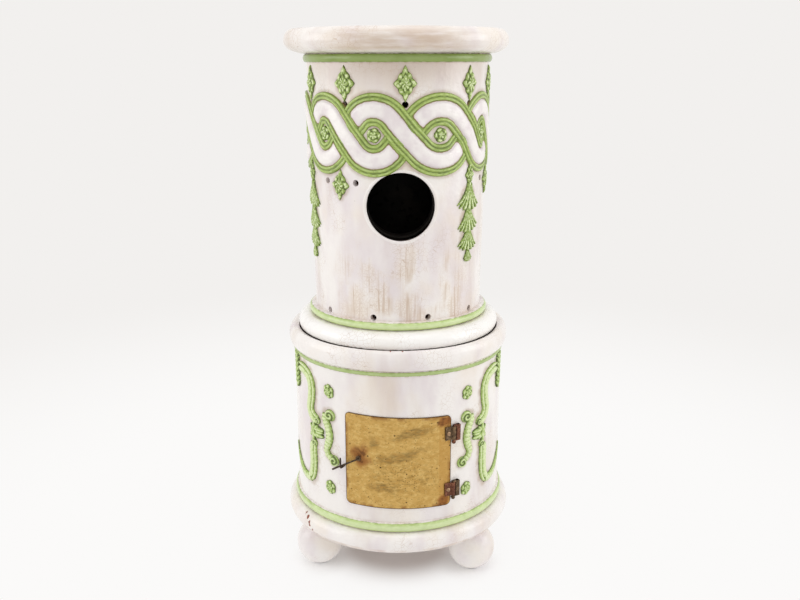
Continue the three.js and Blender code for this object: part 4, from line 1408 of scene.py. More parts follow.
GLAZE_UPPER = TinGlaze(name="tin_glaze_heating_drum", seed=1.0, stain=0.4, streaks=(505, 668), rim_stain_and_shadow_z=960)
GLAZE_LOWER = TinGlaze(name="tin_glaze_fire_drum", seed=7.0, stain=0.3, worn_edge=98.0)
GLAZE_SMALL = TinGlaze(name="tin_glaze_feet_and_lid", seed=12.0, stain=0.45)
BAND = BandPaint(seed=3.0)
RELIEF_UPPER = ReliefPaint(name="relief_glaze_heating_drum", seed=5.0, leaf="#98b058", dark="#687c34")
RELIEF_LOWER = ReliefPaint(name="relief_glaze_fire_drum", seed=6.0, leaf="#a5bf66", mottled=0.3)
BRASS = OldBrass()
BRONZE = AgedMetal(name="patinated_bronze", skin="#5f4c38", worn="#94785a", crust="#32281e", grain=1.8)
RED_BRONZE = AgedMetal(name="reddened_bronze", skin="#6f4534", worn="#98664c", crust="#36241b", grain=1.8)
# lighter than the leaves: rubbed wear on the rivet heads, and a painted highlight on their domes
WORN_AND_HIGHLIT_BRONZE = AgedMetal(
    name="rubbed_bronze", skin="#96755a", worn="#cfb08c", crust="#4a382a", grain=1.6, roughness=0.34
)
WIRE = AgedMetal(name="oxidised_iron_wire", skin="#40352b", worn="#66543f", crust="#211a16", grain=2.0)
SHEET_IRON = AgedMetal(
    name="sooted_sheet_iron", skin="#26221f", worn="#3a332d", crust="#15120f", grain=14.0, roughness=0.6
)
CAST_IRON = AgedMetal(
    name="sand_cast_iron", skin="#2a2725", worn="#3c3733", crust="#1a1715", grain=4.0, roughness=0.75,
    bump=0.4,
)
FIRECLAY = Fireclay()


def piece(
    name: str, form: Form, finish: Finish, body: Body, stands_for: tuple = (),
    crease: float = 38.0,
) -> bpy.types.Object:
    """Makes a finished piece of a form.

    Args:
        name: The piece's name.
        form: Its form.
        finish: Its finish.
        body: The body it rides on.
        stands_for: The CAD nodes that it replaces.
        crease: Edges sharper than this many degrees stay crisp.

    Returns:
        The piece.
    """
    mesh = form.mesh(name)
    mesh.materials.append(finish.material())
    mesh.shade_smooth()
    mesh.set_sharp_from_angle(angle=math.radians(crease))
    made = placed(name, mesh)
    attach(made, body.value)
    if stands_for:
        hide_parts(*stands_for)
    LOG.info("%s: %d points, %d faces, rides on %s", name, len(mesh.vertices), len(mesh.polygons), body.value)
    return made


def glazed(form: Form, values: dict[str, np.ndarray]) -> Form:
    """Gives a form the values that the glaze reads.

    Args:
        form: The form.
        values: Those it has, by name.

    Returns:
        The form, with a harmless value for the others.
    """
    blank = {"near": 60.0, "green": -60.0, "chip": -60.0, "dirt": -60.0, "inside": 0.0, "tint": 0.0}
    form.values = {name: values.get(name, np.full(len(form.points), blank[name])) for name in blank}
    return form


# ------------------------------------------------------------------ carved ornament


@dataclass(frozen=True)
class Leaf:
    """One leaf of a carved cluster, from its root; it points along its turn, 0 to the right."""

    x: float
    z: float
    turn: float
    length: float
    width: float
    lift: float = 1.0
    curl: float = 0.0
    blunt: float = 0.7


def foliage(leaves: list[Leaf], relief: float = 4.0, step: float = 1.1) -> Form:
    """Carves a cluster of overlapping leaves, each with a round back, painted light on its back and dark at
    its edge as painted highlight and shade.

    Args:
        leaves: The leaves.
        relief: How far they stand out.
        step: The grid's spacing.

    Returns:
        The cluster, flat.
    """
    tips = [
        (
            leaf.x + leaf.length * math.cos(math.radians(leaf.turn)),
            leaf.z + leaf.length * math.sin(math.radians(leaf.turn)),
        )
        for leaf in leaves
    ]
    wide = 2 * max(abs(x) for x, _ in tips) + 10
    tall = 2 * max(abs(z) for _, z in tips) + 10

    def shape(u: np.ndarray, v: np.ndarray) -> tuple[np.ndarray, np.ndarray]:
        """Gives the cluster's relief.

        Args:
            u: How far to the right the points lie.
            v: How far up they lie.

        Returns:
            The height, and the share of light paint.
        """
        height, paint = np.full(u.shape, -1.0), np.zeros(u.shape)
        for leaf in leaves:
            turn = math.radians(leaf.turn)
            right, up = u - leaf.x, v - leaf.z
            along = (right * math.cos(turn) + up * math.sin(turn)) / leaf.length
            inner = np.clip(along, 0, 1)
            side = up * math.cos(turn) - right * math.sin(turn) - leaf.curl * leaf.length * inner**2
            swell = np.sin(np.pi * np.clip(0.12 + 0.88 * inner, 0, 1) ** 0.8)
            half = leaf.width / 2 * np.clip(swell, 0, 1) ** leaf.blunt
            inside = np.where((along > 0) & (along < 1), 1 - np.abs(side) / np.maximum(half, 0.2), -1)
            back = np.sqrt(np.clip(inside, 0, 1))
            lobe = np.where(
                inside > 0, relief * leaf.lift * (0.3 + 0.7 * back) * (0.8 + 0.2 * np.sin(np.pi * inner)), -1
            )
            paint = np.where(lobe > height, 0.05 + 0.95 * back**2.2 * (0.7 + 0.3 * leaf.lift), paint)
            height = np.maximum(height, lobe)
        return height, paint

    return carved(wide, tall, step, shape)


def medallion(wide: float, tall: float, power: float, lobes: int, relief: float = 4.2) -> Form:
    """Carves a filled rosette of two rings of twisted lobes.

    Args:
        wide: Its half width.
        tall: Its half height.
        power: The outline's exponent: 2 makes an oval, 1 a lozenge.
        lobes: The number of lobes of a ring.
        relief: How far it stands out.

    Returns:
        The rosette, flat.
    """

    def shape(u: np.ndarray, v: np.ndarray) -> tuple[np.ndarray, np.ndarray]:
        """Gives the rosette's relief.

        Args:
            u: How far to the right the points lie.
            v: How far up they lie.

        Returns:
            The height, and the share of light paint.
        """
        right, up = u / wide, v / tall
        reach = (np.abs(right) ** power + np.abs(up) ** power) ** (1 / power)
        turn = np.arctan2(up, right)
        outer = np.abs(np.cos(lobes / 2 * (turn + 0.35 * (reach - 1))))
        inner = np.abs(np.sin(lobes / 2 * (turn - 0.8 * reach)))
        ring = np.clip((0.55 - reach) / 0.07, 0, 1)
        lobe = outer * (1 - ring) + inner * ring
        crease = np.exp(-(((reach - 0.53) / 0.07) ** 2))
        edge = 1 - reach * (1 + 0.1 * (1 - outer))
        body = np.sqrt(np.clip(edge * 5, 0, 1))
        height = relief * body * (0.5 + 0.35 * lobe**0.7 + 0.25 * ring) * (1 - 0.3 * crease)
        # painted shade in the crease between the two rings, painted highlight on the lobes and the middle
        paint = body * (0.2 + 0.75 * lobe**0.9) * (1 - 0.65 * crease) + 0.4 * np.clip(1 - reach / 0.2, 0, 1)
        return np.where(edge > 0, height, -1), np.clip(paint, 0, 1)

    return carved(2.1 * wide, 2.1 * tall, 0.9, shape)


def bell(neck: float, mouth: float, length: float, ribs: int, relief: float = 4.8) -> Form:
    """Carves one husk of a garland: a ribbed bell whose rim ends in points.

    Args:
        neck: Its half width at the top.
        mouth: Its half width at the bottom.
        length: Its length.
        ribs: The number of ribs, odd.
        relief: How far it stands out.

    Returns:
        The husk, flat, centred on its middle.
    """

    def shape(u: np.ndarray, v: np.ndarray) -> tuple[np.ndarray, np.ndarray]:
        """Gives the husk's relief.

        Args:
            u: How far to the right the points lie.
            v: How far up they lie.

        Returns:
            The height, and the share of light paint.
        """
        fall = 0.5 - v / length
        half = neck + (mouth - neck) * np.clip(fall, 0, 1) ** 1.9
        side = u / half
        rib = np.abs(np.cos(np.pi / 2 * ribs * side))
        end = 0.66 + 0.34 * rib - 0.26 * side**2
        margin = np.minimum((1.04 - np.abs(side)) * half, (end - fall) * length)
        margin = np.minimum(margin, fall * length + 0.6)
        body = np.sqrt(np.clip(margin / 2.5, 0, 1))
        height = relief * body * (0.3 + 0.45 * rib**0.8 + 0.35 * fall)
        return np.where(margin > 0, height, -1), np.clip(body * (0.1 + 0.72 * rib + 0.18 * fall), 0, 1)

    return carved(2.2 * mouth, 1.1 * length, 1.0, shape)


def whorl(radius: float, turns: float) -> Form:
    """Carves a volute: a round boss with a spiral groove.

    Args:
        radius: Its radius.
        turns: The number of turns of the groove.

    Returns:
        The volute, flat.
    """

    def shape(u: np.ndarray, v: np.ndarray) -> tuple[np.ndarray, np.ndarray]:
        """Gives the volute's relief.

        Args:
            u: How far to the right the points lie.
            v: How far up they lie.

        Returns:
            The height, and the share of light paint.
        """
        reach, turn = np.hypot(u, v) / radius, np.arctan2(v, u)
        inside = 1 - reach
        groove = np.cos(reach * turns * 2 * np.pi - turn)
        carve = np.clip(0.5 + 0.5 * groove, 0, 1) * np.clip(0.25 + reach * 2.5, 0, 1)
        height = (1.4 + 2.0 * np.clip(inside * 3, 0, 1) + 1.8 * carve) * np.clip(inside * 6 + 0.2, 0, 1)
        return np.where(inside > 0, height, -0.8), carve * np.clip(inside * 4 + 0.4, 0, 1)

    return carved(2.1 * radius, 2.1 * radius, 0.9, shape)


# ------------------------------------------------------------------ the heating drum


@dataclass
class HeatingDrum:
    """The tall drum: shell, woven band, eyes, buds and husk garlands."""

    foot_z: float = 458.3
    base_r: float = 185.5
    base_height: float = 31.5
    bead_height: float = 15.0
    bead_bulge: float = 7.5
    low_r: float = 152.5
    high_r: float = 159.5
    wall_height: float = 429.5
    wall_thickness: float = 20.0
    rim_height: float = 41.0
    rim_bulge: float = 36.5
    rim_land: float = 16.0
    rim_stray: float = 2.4
    seat_depth: float = 25.0
    seat_r: float = 150.5
    flue_r: float = 59.5
    flue_bearing: float = 2.0
    flue_rise: float = 197.5
    lip_r: float = 3.2
    vent_r: float = 5.5
    band_rise: float = 315.0
    strand_width: float = 54.0
    strand_swing: float = 41.6
    strand_slope: float = 52.5
    strays: tuple = (0, 1.5, 9.5, 3, 0, 0, 0, 0, 0, 2)
    low_buds: tuple = ((0, -5), (3, 0), (5, 0), (6, 0), (8, 0))
    garlands: tuple = ((2, 2.5), (4, 0), (7, 0), (9, -3))
    husk_drops: tuple = (108, 147, 181)
    tail_drop: float = 208.0
    foot_chips: tuple = ((-3.0, 2, 4.0), (1.5, 1, 2.5), (7.0, 1, 2.0))
    facets: int = 300
    pitch: float = 3.2

    def __post_init__(self) -> None:
        """Works out the heights that follow from the sizes."""
        self.bead_z = self.foot_z + self.base_height
        self.wall_z = self.bead_z + self.bead_height
        self.top_bead_z = self.wall_z + self.wall_height
        self.rim_z = self.top_bead_z + self.bead_height
        self.rim_top = self.rim_z + self.rim_height
        self.seat_z = self.rim_top - self.seat_depth
        self.band_z = self.wall_z + self.band_rise
        self.flue_z = self.wall_z + self.flue_rise
        self.ground = Ground(self.low_r, self.high_r, self.wall_z, self.top_bead_z)

    def crossing(self, k: int) -> float:
        """Gives the bearing of a crossing of the band."""
        return -33 + 36 * k + self.strays[k % 10]

    def swing(self, phase: float) -> float:
        """Gives a strand's fall below the band's middle: round crests joined by straight slopes.

        Args:
            phase: How far along the strand, from -1 to 1, with the crossing in the middle.

        Returns:
            The fall in millimetres.
        """
        quarter = math.radians(18) * self.ground.radius(self.band_z)
        slope = math.radians(self.strand_slope)
        round_r = (quarter * math.tan(slope) - self.strand_swing) / (1 / math.cos(slope) - 1)
        away = abs(abs(phase) - 0.5) * 2 * quarter
        if away < round_r * math.sin(slope):
            depth = self.strand_swing - round_r + math.sqrt(round_r**2 - away**2)
        else:
            depth = (quarter - away) * math.tan(slope)
        return math.copysign(depth, phase)

    def strand_path(self, k: int, reach: float = 1.0, steps: int = 60) -> Outline:
        """Gives the path of one strand of the band.

        Args:
            k: The crossing that it goes over.
            reach: How much of it, as a share.
            steps: The number of steps.

        Returns:
            Bearings and heights.
        """
        path = []
        for phase in np.linspace(-reach, reach, steps + 1):
            far = self.crossing(k - 1) if phase < 0 else self.crossing(k + 1)
            bearing = self.crossing(k) + abs(phase) * (far - self.crossing(k))
            path.append((bearing, self.band_z - self.swing(phase)))
        return path

    def vents(self) -> Outline:
        """Places the air holes.

        Returns:
            The bearing and height of each: over and under the band, and along the foot.
        """
        holes = [(self.crossing(k), self.band_z + 49) for k in range(10)]
        for k, stray in self.low_buds:
            holes += [(self.crossing(k) + stray + side * 11.5, self.band_z - 79) for side in (-1, 1)]
        return holes + [(20 + 36 * k, self.wall_z + 5.5) for k in range(10)]

    def profile(self) -> Outline:
        """Draws the shell's closed profile, from its foot up the outside and down the inside.

        Returns:
            The points as radius and height.
        """
        shoulder = self.low_r + 12
        points = [(self.low_r - self.wall_thickness, self.foot_z), (self.base_r - 4, self.foot_z)]
        for i in range(15):
            turn = math.pi / 2 * (i / 14) * 1.25 - math.pi * 0.125
            rise = self.base_height * (0.42 + 0.58 * math.sin(turn))
            points.append((shoulder + (self.base_r - shoulder) * math.cos(turn), self.foot_z + rise))
        points += bulge(self.low_r + 5, self.bead_z, self.bead_height, self.bead_bulge, 10)
        foot, head = (self.low_r, self.wall_z), (self.high_r, self.top_bead_z)
        points += [foot, *wall(foot, head, self.pitch), head]
        points += bulge(self.high_r, self.top_bead_z, self.bead_height, self.bead_bulge - 1.5, 10)
        land = self.high_r + self.rim_bulge - self.rim_land
        for i in range(23):
            turn = math.pi * (i / 22 - 0.5)
            start, share = (self.high_r, self.rim_bulge) if turn < 0 else (land, self.rim_land)
            rise = self.rim_height / 2 * (1 + math.sin(turn))
            points.append((start + share * math.cos(turn), self.rim_z + rise))
        inner = self.high_r - self.wall_thickness
        points += [(self.seat_r, self.rim_top), (self.seat_r, self.seat_z), (inner, self.seat_z)]
        points += wall((inner, self.seat_z), (self.low_r - self.wall_thickness, self.foot_z), 24)
        return apart(points)

    def shell(self, spots: np.ndarray) -> None:
        """Turns and pierces the shell, and paints its values.

        Args:
            spots: Discs that cover the green ornament.
        """
        form = turned(self.profile(), self.facets, 0.4)
        hole = borer(self.flue_r, 0.0, 0.0, 60, 240, 96)
        turn = np.arctan2(hole.points[:, 2], hole.points[:, 0])
        ragged = 1 + 0.006 * (1 + np.sin(3 * turn + 0.6)) + 0.004 * np.sin(5 * turn)
        hole.points[:, [0, 2]] *= ragged[:, None]
        tools = [hole.moved((0, 0, self.flue_z), self.flue_bearing)]
        tools += [borer(self.vent_r, bearing, z, 60, 240, 20) for bearing, z in self.vents()]
        form = pierced(form, tools)
        x, y, z = form.points.T
        reach = np.hypot(x, y)
        thrown = np.clip((reach - self.seat_r - 4) / 20, 0, 1) * np.clip((z - self.rim_z) / 8, 0, 1)
        form.points[:, 0] -= self.rim_stray * thrown
        outside = reach > self.ground.radius(z) - 3
        low = inside_bead(z, self.bead_z, self.bead_height)
        high = inside_bead(z, self.top_bead_z, self.bead_height)
        on_low = outside & (z < self.wall_z + 20) & (z > self.bead_z - 0.5)
        green = np.where(on_low, low, np.where(outside, high, -60.0))
        near = np.where(
            outside & (z > self.wall_z) & (z < self.top_bead_z), distance_to(form.points, spots), 60.0
        )
        chips = np.array([(bearing, self.foot_z + rise, size) for bearing, rise, size in self.foot_chips])
        inside = ((reach < self.ground.radius(z) - 12) & (z < self.seat_z - 2)).astype(float)
        # painted shade, with some dirt, darkening the foot of the base torus where it sits in the recess
        dirt = np.where(reach > self.low_r, self.foot_z + 5.4 - z, -60.0)
        tint = np.where(z > self.top_bead_z - 20, 0.85, 0.0)
        values = {"near": near, "green": green, "chip": -distance_to(form.points, chips)}
        values.update({"inside": inside, "dirt": dirt, "tint": tint})
        around, turns = self.flue_r + self.lip_r / 4, np.linspace(0, 2 * math.pi, 97)
        x, z = around * np.cos(turns), self.flue_z + around * np.sin(turns)
        y = -np.sqrt((self.ground.radius(z) - 0.75 * self.lip_r) ** 2 - x**2)
        lip = rod(np.stack([x, y, z], 1), self.lip_r, 12)
        piece(
            "flue_hole_lip", glazed(lip.moved(bearing=self.flue_bearing), {}), GLAZE_SMALL, Body.HEATING_DRUM,
        )
        piece(
            "heating_drum_shell", glazed(form, values), GLAZE_UPPER, Body.HEATING_DRUM,
            ("upper_drum",), 32.0,
        )

    def band(self) -> np.ndarray:
        """Weaves the band.

        Returns:
            Discs that cover it.
        """
        section = [
            (0, 1.0), (0.25, 0.95), (0.4, 0.74), (0.485, 0.46), (0.55, 0.66), (0.64, 0.8), (0.735, 0.56)
        ]
        section += [(0.82, 0.76), (0.9, 0.72), (0.97, 0.4), (1, 0.0)]
        swell = [(0, 0.5), (0.12, 0.62), (0.2, 0.97), (0.3, 1), (0.7, 1), (0.8, 0.97), (0.88, 0.62), (1, 0.5)]
        recipe = ribbon_recipe("strand of the woven band", section, [(0, 1), (1, 1)], swell)
        ribbon = Ribbon(recipe, self.ground, self.strand_width / 2, 7.2, cells=40, pitch=2.2)
        half = self.strand_width / 2
        strands = []
        for k in range(10):
            strand = ribbon.laid(self.strand_path(k))
            over = np.array([(b, z, half) for j in (k - 1, k + 1) for b, z in self.strand_path(j, 0.6)])
            away = distance_to(strand.points, over) - 2.0
            middle = half * 0.49 - np.abs(strand.values["across"])
            gap = np.clip(4 - np.abs(middle - away), 0, 4)
            strand.values["edge"] = np.minimum(middle, away) - gap**2 / 16
            strands.append(strand)
        piece("woven_band", Form.joined(strands), BAND, Body.HEATING_DRUM, crease=70.0)
        return np.array([(b, z, half) for k in range(10) for b, z in self.strand_path(k)])

    def ornament(self) -> np.ndarray:
        """Sets the eyes, the buds and the garlands.

        Returns:
            Discs that cover them.
        """
        eyes = [
            Place((self.crossing(k) + self.crossing(k + 1)) / 2, self.band_z, 37.0 * k) for k in range(10)
        ]
        high = [Place(self.crossing(k), self.band_z + 82, 0, 1 - 0.05 * (k % 3)) for k in range(10)]
        low = [Place(self.crossing(k) + stray, self.band_z - 84, 4, 0.95, 0.92) for k, stray in self.low_buds]
        leafy = medallion(20.5, 29, 1.0, 8, 4.8)
        parts = [
            scattered(medallion(12.5, 12.5, 2.0, 5), eyes, self.ground),
            scattered(leafy, high + low, self.ground),
        ]
        spots = [(p.bearing, p.z, 12.0) for p in eyes]
        for place in high + low:
            spots += [
                (place.bearing, place.z + dz, r) for dz, r in ((18, 4), (10, 8), (-2, 16), (-10, 9), (-20, 4))
            ]
        husks, buds, tails = [], [], []
        for k, stray in self.garlands:
            bearing = self.crossing(k) + stray
            for i, drop in enumerate(self.husk_drops):
                z = self.band_z - drop
                husks.append(Place(bearing, z, 3 * (-1) ** i, 1.04 - 0.06 * i, 1.08 - 0.06 * i))
                spots.append((bearing, z, 19))
            buds.append(Place(bearing, self.band_z - 70, 0, 0.58, 0.78))
            tails.append(Place(bearing, self.band_z - self.tail_drop, 0, 0.36, 0.62))
        hung = Form.joined(
            [scattered(bell(7, 47, 44, 7), husks + tails, self.ground), scattered(leafy, buds, self.ground)]
        )
        piece("buds_and_eyes", Form.joined(parts), RELIEF_UPPER, Body.HEATING_DRUM, crease=75.0)
        piece("husk_garlands", hung, RELIEF_UPPER, Body.HEATING_DRUM, crease=75.0)
        return np.array(spots)

    def build(self) -> None:
        """Builds the whole drum."""
        self.shell(np.vstack([self.band(), self.ornament()]))


# ------------------------------------------------------------------ the fire drum


@dataclass
class FireDrum:
    """The low drum: shell, strapwork, rosettes and ball feet."""

    plinth_z: float = 88.0
    plinth_height: float = 39.0
    plinth_bulge: float = 19.5
    bead_height: float = 18.0
    bead_bulge: float = 7.0
    wall_r: float = 194.5
    wall_height: float = 274.0
    wall_thickness: float = 20.0
    floor_thickness: float = 24.0
    line_height: float = 9.0
    line_bulge: float = 2.6
    flange_height: float = 37.0
    flange_bulge: float = 9.7
    recess_depth: float = 7.0
    recess_r: float = 191.6
    foot_r: float = 44.0
    foot_flat: float = 1.2
    foot_circle: float = 168.0
    foot_bearing: float = -64.0
    neck_r: float = 24.0
    axis: float = 88.0
    door_lap: float = 10.0
    plinth_chips: tuple = (
        (-53, 31, 3.4), (-51, 26, 2.6), (-50, 20, 2.8), (-56, 34, 2.4), (-48, 14, 2.6), (-22, 18, 1.4)
    )
    rim_chips: tuple = ((2.0, 1.6), (-4.0, 1.2))
    facets: int = 300
    pitch: float = 3.6

    def __post_init__(self) -> None:
        """Works out the heights that follow from the sizes."""
        self.bead_z = self.plinth_z + self.plinth_height
        self.wall_z = self.bead_z + self.bead_height
        self.line_z = self.wall_z + self.wall_height
        self.flange_z = self.line_z + self.line_height
        self.top_z = self.flange_z + self.flange_height
        self.recess_z = self.top_z - self.recess_depth
        self.inner_r = self.wall_r - self.wall_thickness
        self.ground = Ground(self.wall_r, self.wall_r, self.wall_z, self.line_z)

    def profile(self) -> Outline:
        """Draws the shell's closed profile, from its foot up the outside and down the inside.

        Returns:
            The points as radius and height.
        """
        foot, head = (self.wall_r, self.wall_z), (self.wall_r, self.line_z)
        points = [(0.0, self.plinth_z), (90.0, self.plinth_z)]
        points += bulge(self.wall_r, self.plinth_z, self.plinth_height, self.plinth_bulge, 22)
        points += bulge(self.wall_r, self.bead_z, self.bead_height, self.bead_bulge, 10)
        points += [foot, *wall(foot, head, self.pitch), head]
        points += bulge(self.wall_r, self.line_z, self.line_height, self.line_bulge, 6)
        points += bulge(self.wall_r, self.flange_z, self.flange_height, self.flange_bulge, 18)
        lip = 1.2
        floor = self.plinth_z + self.floor_thickness
        points += [(self.recess_r + lip, self.top_z), (self.recess_r - lip, self.top_z - lip)]
        points += [(self.recess_r - 5.4, self.recess_z + 4.2), (self.recess_r - 7.6, self.recess_z + 0.3)]
        points += [
            (self.inner_r, self.recess_z), *wall((self.inner_r, self.recess_z), (self.inner_r, floor), 24)
        ]
        points += [(self.inner_r, floor), (0.0, floor)]
        return apart(points)

    def opening(self, door: "FireDoor") -> Form:
        """Makes the tool that cuts the door's opening.

        Args:
            door: The fire door.

        Returns:
            The tool.
        """
        outline = door.outline(self.door_lap)
        count = len(outline)
        x = door.sheet_r * np.sin(outline[:, 0] / door.sheet_r)
        near = np.stack([x, np.full(count, -60.0), outline[:, 1]], 1)
        far = np.stack([x, np.full(count, -230.0), outline[:, 1]], 1)
        faces = [[i, (i + 1) % count, (i + 1) % count + count, i + count] for i in range(count)]
        faces += [list(range(count))[::-1], list(range(count, 2 * count))]
        return Form(np.vstack([near, far]), faces)

    def shell(self, spots: np.ndarray, door: "FireDoor") -> None:
        """Turns and pierces the shell, and paints its values.

        Args:
            spots: Discs that cover the green ornament.
            door: The fire door.
        """
        form = pierced(turned(self.profile(), self.facets, 0.5), [self.opening(door)])
        x, y, z = form.points.T
        reach = np.hypot(x, y)
        outside = reach > self.wall_r - 2
        low = inside_bead(z, self.bead_z, self.bead_height)
        high = inside_bead(z, self.line_z, self.line_height)
        green = np.where(outside, np.maximum(low, high), -60.0)
        near = np.where(
            outside & (z > self.wall_z) & (z < self.line_z), distance_to(form.points, spots), 60.0
        )
        chips = [(bearing, self.plinth_z + rise, size) for bearing, rise, size in self.plinth_chips]
        chips += [(bearing, self.top_z, size) for bearing, size in self.rim_chips]
        inside = ((reach < self.wall_r - 6) & (z < self.recess_z - 1) & (z > self.plinth_z + 1)).astype(float)
        # painted shade, with some dirt, on the recess floor under the heating drum's foot
        dirt = np.where(
            (z > self.recess_z - 1) & (reach < self.recess_r + 2), self.recess_r - 6.0 - reach, -60.0
        )
        tint = np.where(z > self.wall_z + 60, 0.35, 0.0)
        values = {"near": near, "green": green, "chip": -distance_to(form.points, np.array(chips))}
        values.update({"inside": inside, "dirt": dirt, "tint": tint})
        piece(
            "fire_drum_shell", glazed(form, values), GLAZE_LOWER, Body.BASE, ("lower_drum",), 32.0
        )

    def beside(self, line: Outline, gap: float) -> Outline:
        """Gives the line that runs beside another.

        Args:
            line: The line as bearings and heights.
            gap: How far beside it, above 0 to its left.

        Returns:
            The line beside it.
        """
        flat = np.array([self.ground.flat(b, z) for b, z in line])
        way = np.gradient(flat, axis=0)
        way /= np.linalg.norm(way, axis=1)[:, None]
        flat += gap * np.stack([-way[:, 1], way[:, 0]], 1)
        return [(math.degrees(x / self.ground.high_r), z) for x, z in flat]

    def strapwork(self) -> np.ndarray:
        """Lays the strapwork cartouches at both sides.

        Returns:
            Discs that cover them.
        """
        smooth = [(0, 0.8), (0.1, 1), (0.9, 1), (1, 0.8)]
        arch = [(0, 1.0), (0.3, 0.97), (0.6, 0.8), (0.8, 0.5), (0.93, 0.25), (1, 0.0)]
        ends = [(0, 0.6), (0.1, 1), (0.5, 1.05), (0.9, 1), (1, 0.6)]
        plain = ribbon_recipe("strap of a cartouche", arch, ends, smooth)
        curled = ribbon_recipe(
            "sea horse scroll", arch, [(0, 0.9), (0.2, 1), (0.55, 1.1), (0.8, 0.8), (1, 0.8)], smooth
        )
        hooked = ribbon_recipe(
            "hook of a cartouche", arch, [(0, 1), (0.5, 0.9), (1, 0.1)], [(0, 1), (1, 0.5)]
        )
        strap = Ribbon(plain, self.ground, 8.2, 6.4, cells=14, pitch=2.2)
        fillet = Ribbon(plain, self.ground, 3.8, 5.4, cells=8, pitch=2.2)
        tail = Ribbon(curled, self.ground, 9.0, 6.4, cells=14, pitch=1.3, beads=13, bead_depth=0.16)
        hook = Ribbon(hooked, self.ground, 9.0, 6.0, cells=12, pitch=2.2)
        upper = [
            (66, 395), (60.5, 395.5), (56, 390), (53.6, 379), (53, 366), (53.6, 350), (54.6, 334),
            (53.6, 321), (50.6, 312), (47.6, 309),
        ]
        lower = [(52.6, 266), (52.8, 250), (52.6, 233), (53, 216), (54, 203), (56.2, 194)]
        curl = [(54.6, 192), (59, 189), (63.5, 192), (68, 200), (72, 212), (75, 225), (76.6, 236)]
        scroll = [
            (41.2, 331), (41.4, 321), (39.8, 310), (38.8, 298), (38.6, 287), (39.6, 275), (40.6, 263),
            (39.4, 253), (36.8, 248),
        ]
        forms, spots, leaves, curls, knots, blooms = [], [], [], [], [], []
        for side in (-1, 1):
            for fold in (1, -1):
                def at(bearing: float, z: float) -> tuple[float, float]:
                    """Folds a place of the front right quarter to this quarter."""
                    folded = bearing if fold == 1 else 2 * self.axis - bearing
                    return side * folded, z + (2.5 if side < 0 else 0)

                lines = [(strap, upper), (strap, lower), (hook, curl), (tail, scroll)]
                lines += [(fillet, self.beside(upper, -9.6)), (fillet, self.beside(lower, -9.6))]
                for ribbon, line in lines:
                    path = [at(*point) for point in line]
                    forms.append(ribbon.laid(path))
                    spots += [(b, z, 8.0) for b, z in path]
                hand = side * fold
                curls += [Place(*at(38.2, 330), 0, 1.15 * hand, 1.05), Place(*at(35.6, 245), 180, -hand)]
                curls += [
                    Place(*at(47.6, 312), 90, 0.72 * hand, 0.72), Place(*at(50.4, 266), 20, 0.7 * hand, 0.7)
                ]
                knots.append(Place(*at(51.0, 290), 0, hand))
                leaves.append(Place(*at(70, 388), 3 * hand, hand))
                blooms += [Place(*at(38.6, z), 25 * hand) for z in (375, 191)]
        knot = [
            Leaf(0, -2, 95, 25, 13, 1, 0, 0.4), Leaf(0, 2, -88, 26, 13, 1, 0, 0.4), Leaf(2, 2, 50, 12, 10)
        ]
        knot += [Leaf(2, -3, -50, 12, 10), Leaf(-3, 3, 135, 14, 10), Leaf(-3, -3, -135, 14, 10)]
        knot += [Leaf(-4, 3, 168, 24, 12, 1, 0.1, 0.4), Leaf(-4, -5, 188, 24, 12, 1, -0.1, 0.4)]
        knot += [Leaf(-8, 0, 178, 20, 8, 1.2), Leaf(-5, -10, 76, 20, 9, 1.25), Leaf(5, -9, 104, 20, 9, 1.25)]
        frond = [Leaf(0, 24 - 9 * i, 90 + turn, 15, 9) for i in range(7) for turn in (-48, 48)]
        frond += [Leaf(0, 18, 90, 16, 9), Leaf(0, -34, 90, 56, 6, 1.2)]
        forms += [
            scattered(foliage(frond, 4.6), leaves, self.ground),
            scattered(whorl(10.5, 1.6), curls, self.ground),
            scattered(foliage(knot, 4.6), knots, self.ground),
            scattered(medallion(11.5, 13.5, 2.0, 6), blooms, self.ground),
        ]
        spots += [(p.bearing, p.z, 10 * abs(p.wide)) for p in curls + blooms]
        spots += [(p.bearing, p.z + d, 10) for p in knots for d in (-16, 0, 16)]
        spots += [(p.bearing, p.z + d, 8) for p in leaves for d in (-20, -10, 0, 10, 20)]
        piece("strapwork_and_rosettes", Form.joined(forms), RELIEF_LOWER, Body.BASE, crease=75.0)
        return np.array(spots)

    def feet(self) -> None:
        """Turns the three ball feet."""
        middle = self.foot_r - self.foot_flat
        start = math.acos(1 - self.foot_flat / self.foot_r)
        end = math.pi - math.asin(self.neck_r / self.foot_r)
        turns = np.linspace(start, end, 34)
        profile = [(0.0, 0.0)]
        profile += [(self.foot_r * math.sin(t), middle - self.foot_r * math.cos(t)) for t in turns]
        head = self.plinth_z - CLEARANCE
        profile += [(self.neck_r, head), (0.0, head)]
        ball = turned(profile, 72)
        for i, name in enumerate(("foot_front_left", "foot_front_right", "foot_back")):
            turn = math.radians(self.foot_bearing + 120 * i)
            spot = (self.foot_circle * math.sin(turn), -self.foot_circle * math.cos(turn), 0)
            # painted shade, with some dirt, along the ball's bottom where it meets the floor
            values = {"dirt": 2.2 - ball.points[:, 2]}
            piece(
                "ball_" + name, glazed(ball.moved(spot), values), GLAZE_SMALL, Body.BASE, (name,)
            )

    def build(self, door: "FireDoor") -> None:
        """Builds the whole drum."""
        self.shell(self.strapwork(), door)
        self.feet()


# ------------------------------------------------------------------ door, hinges and latch


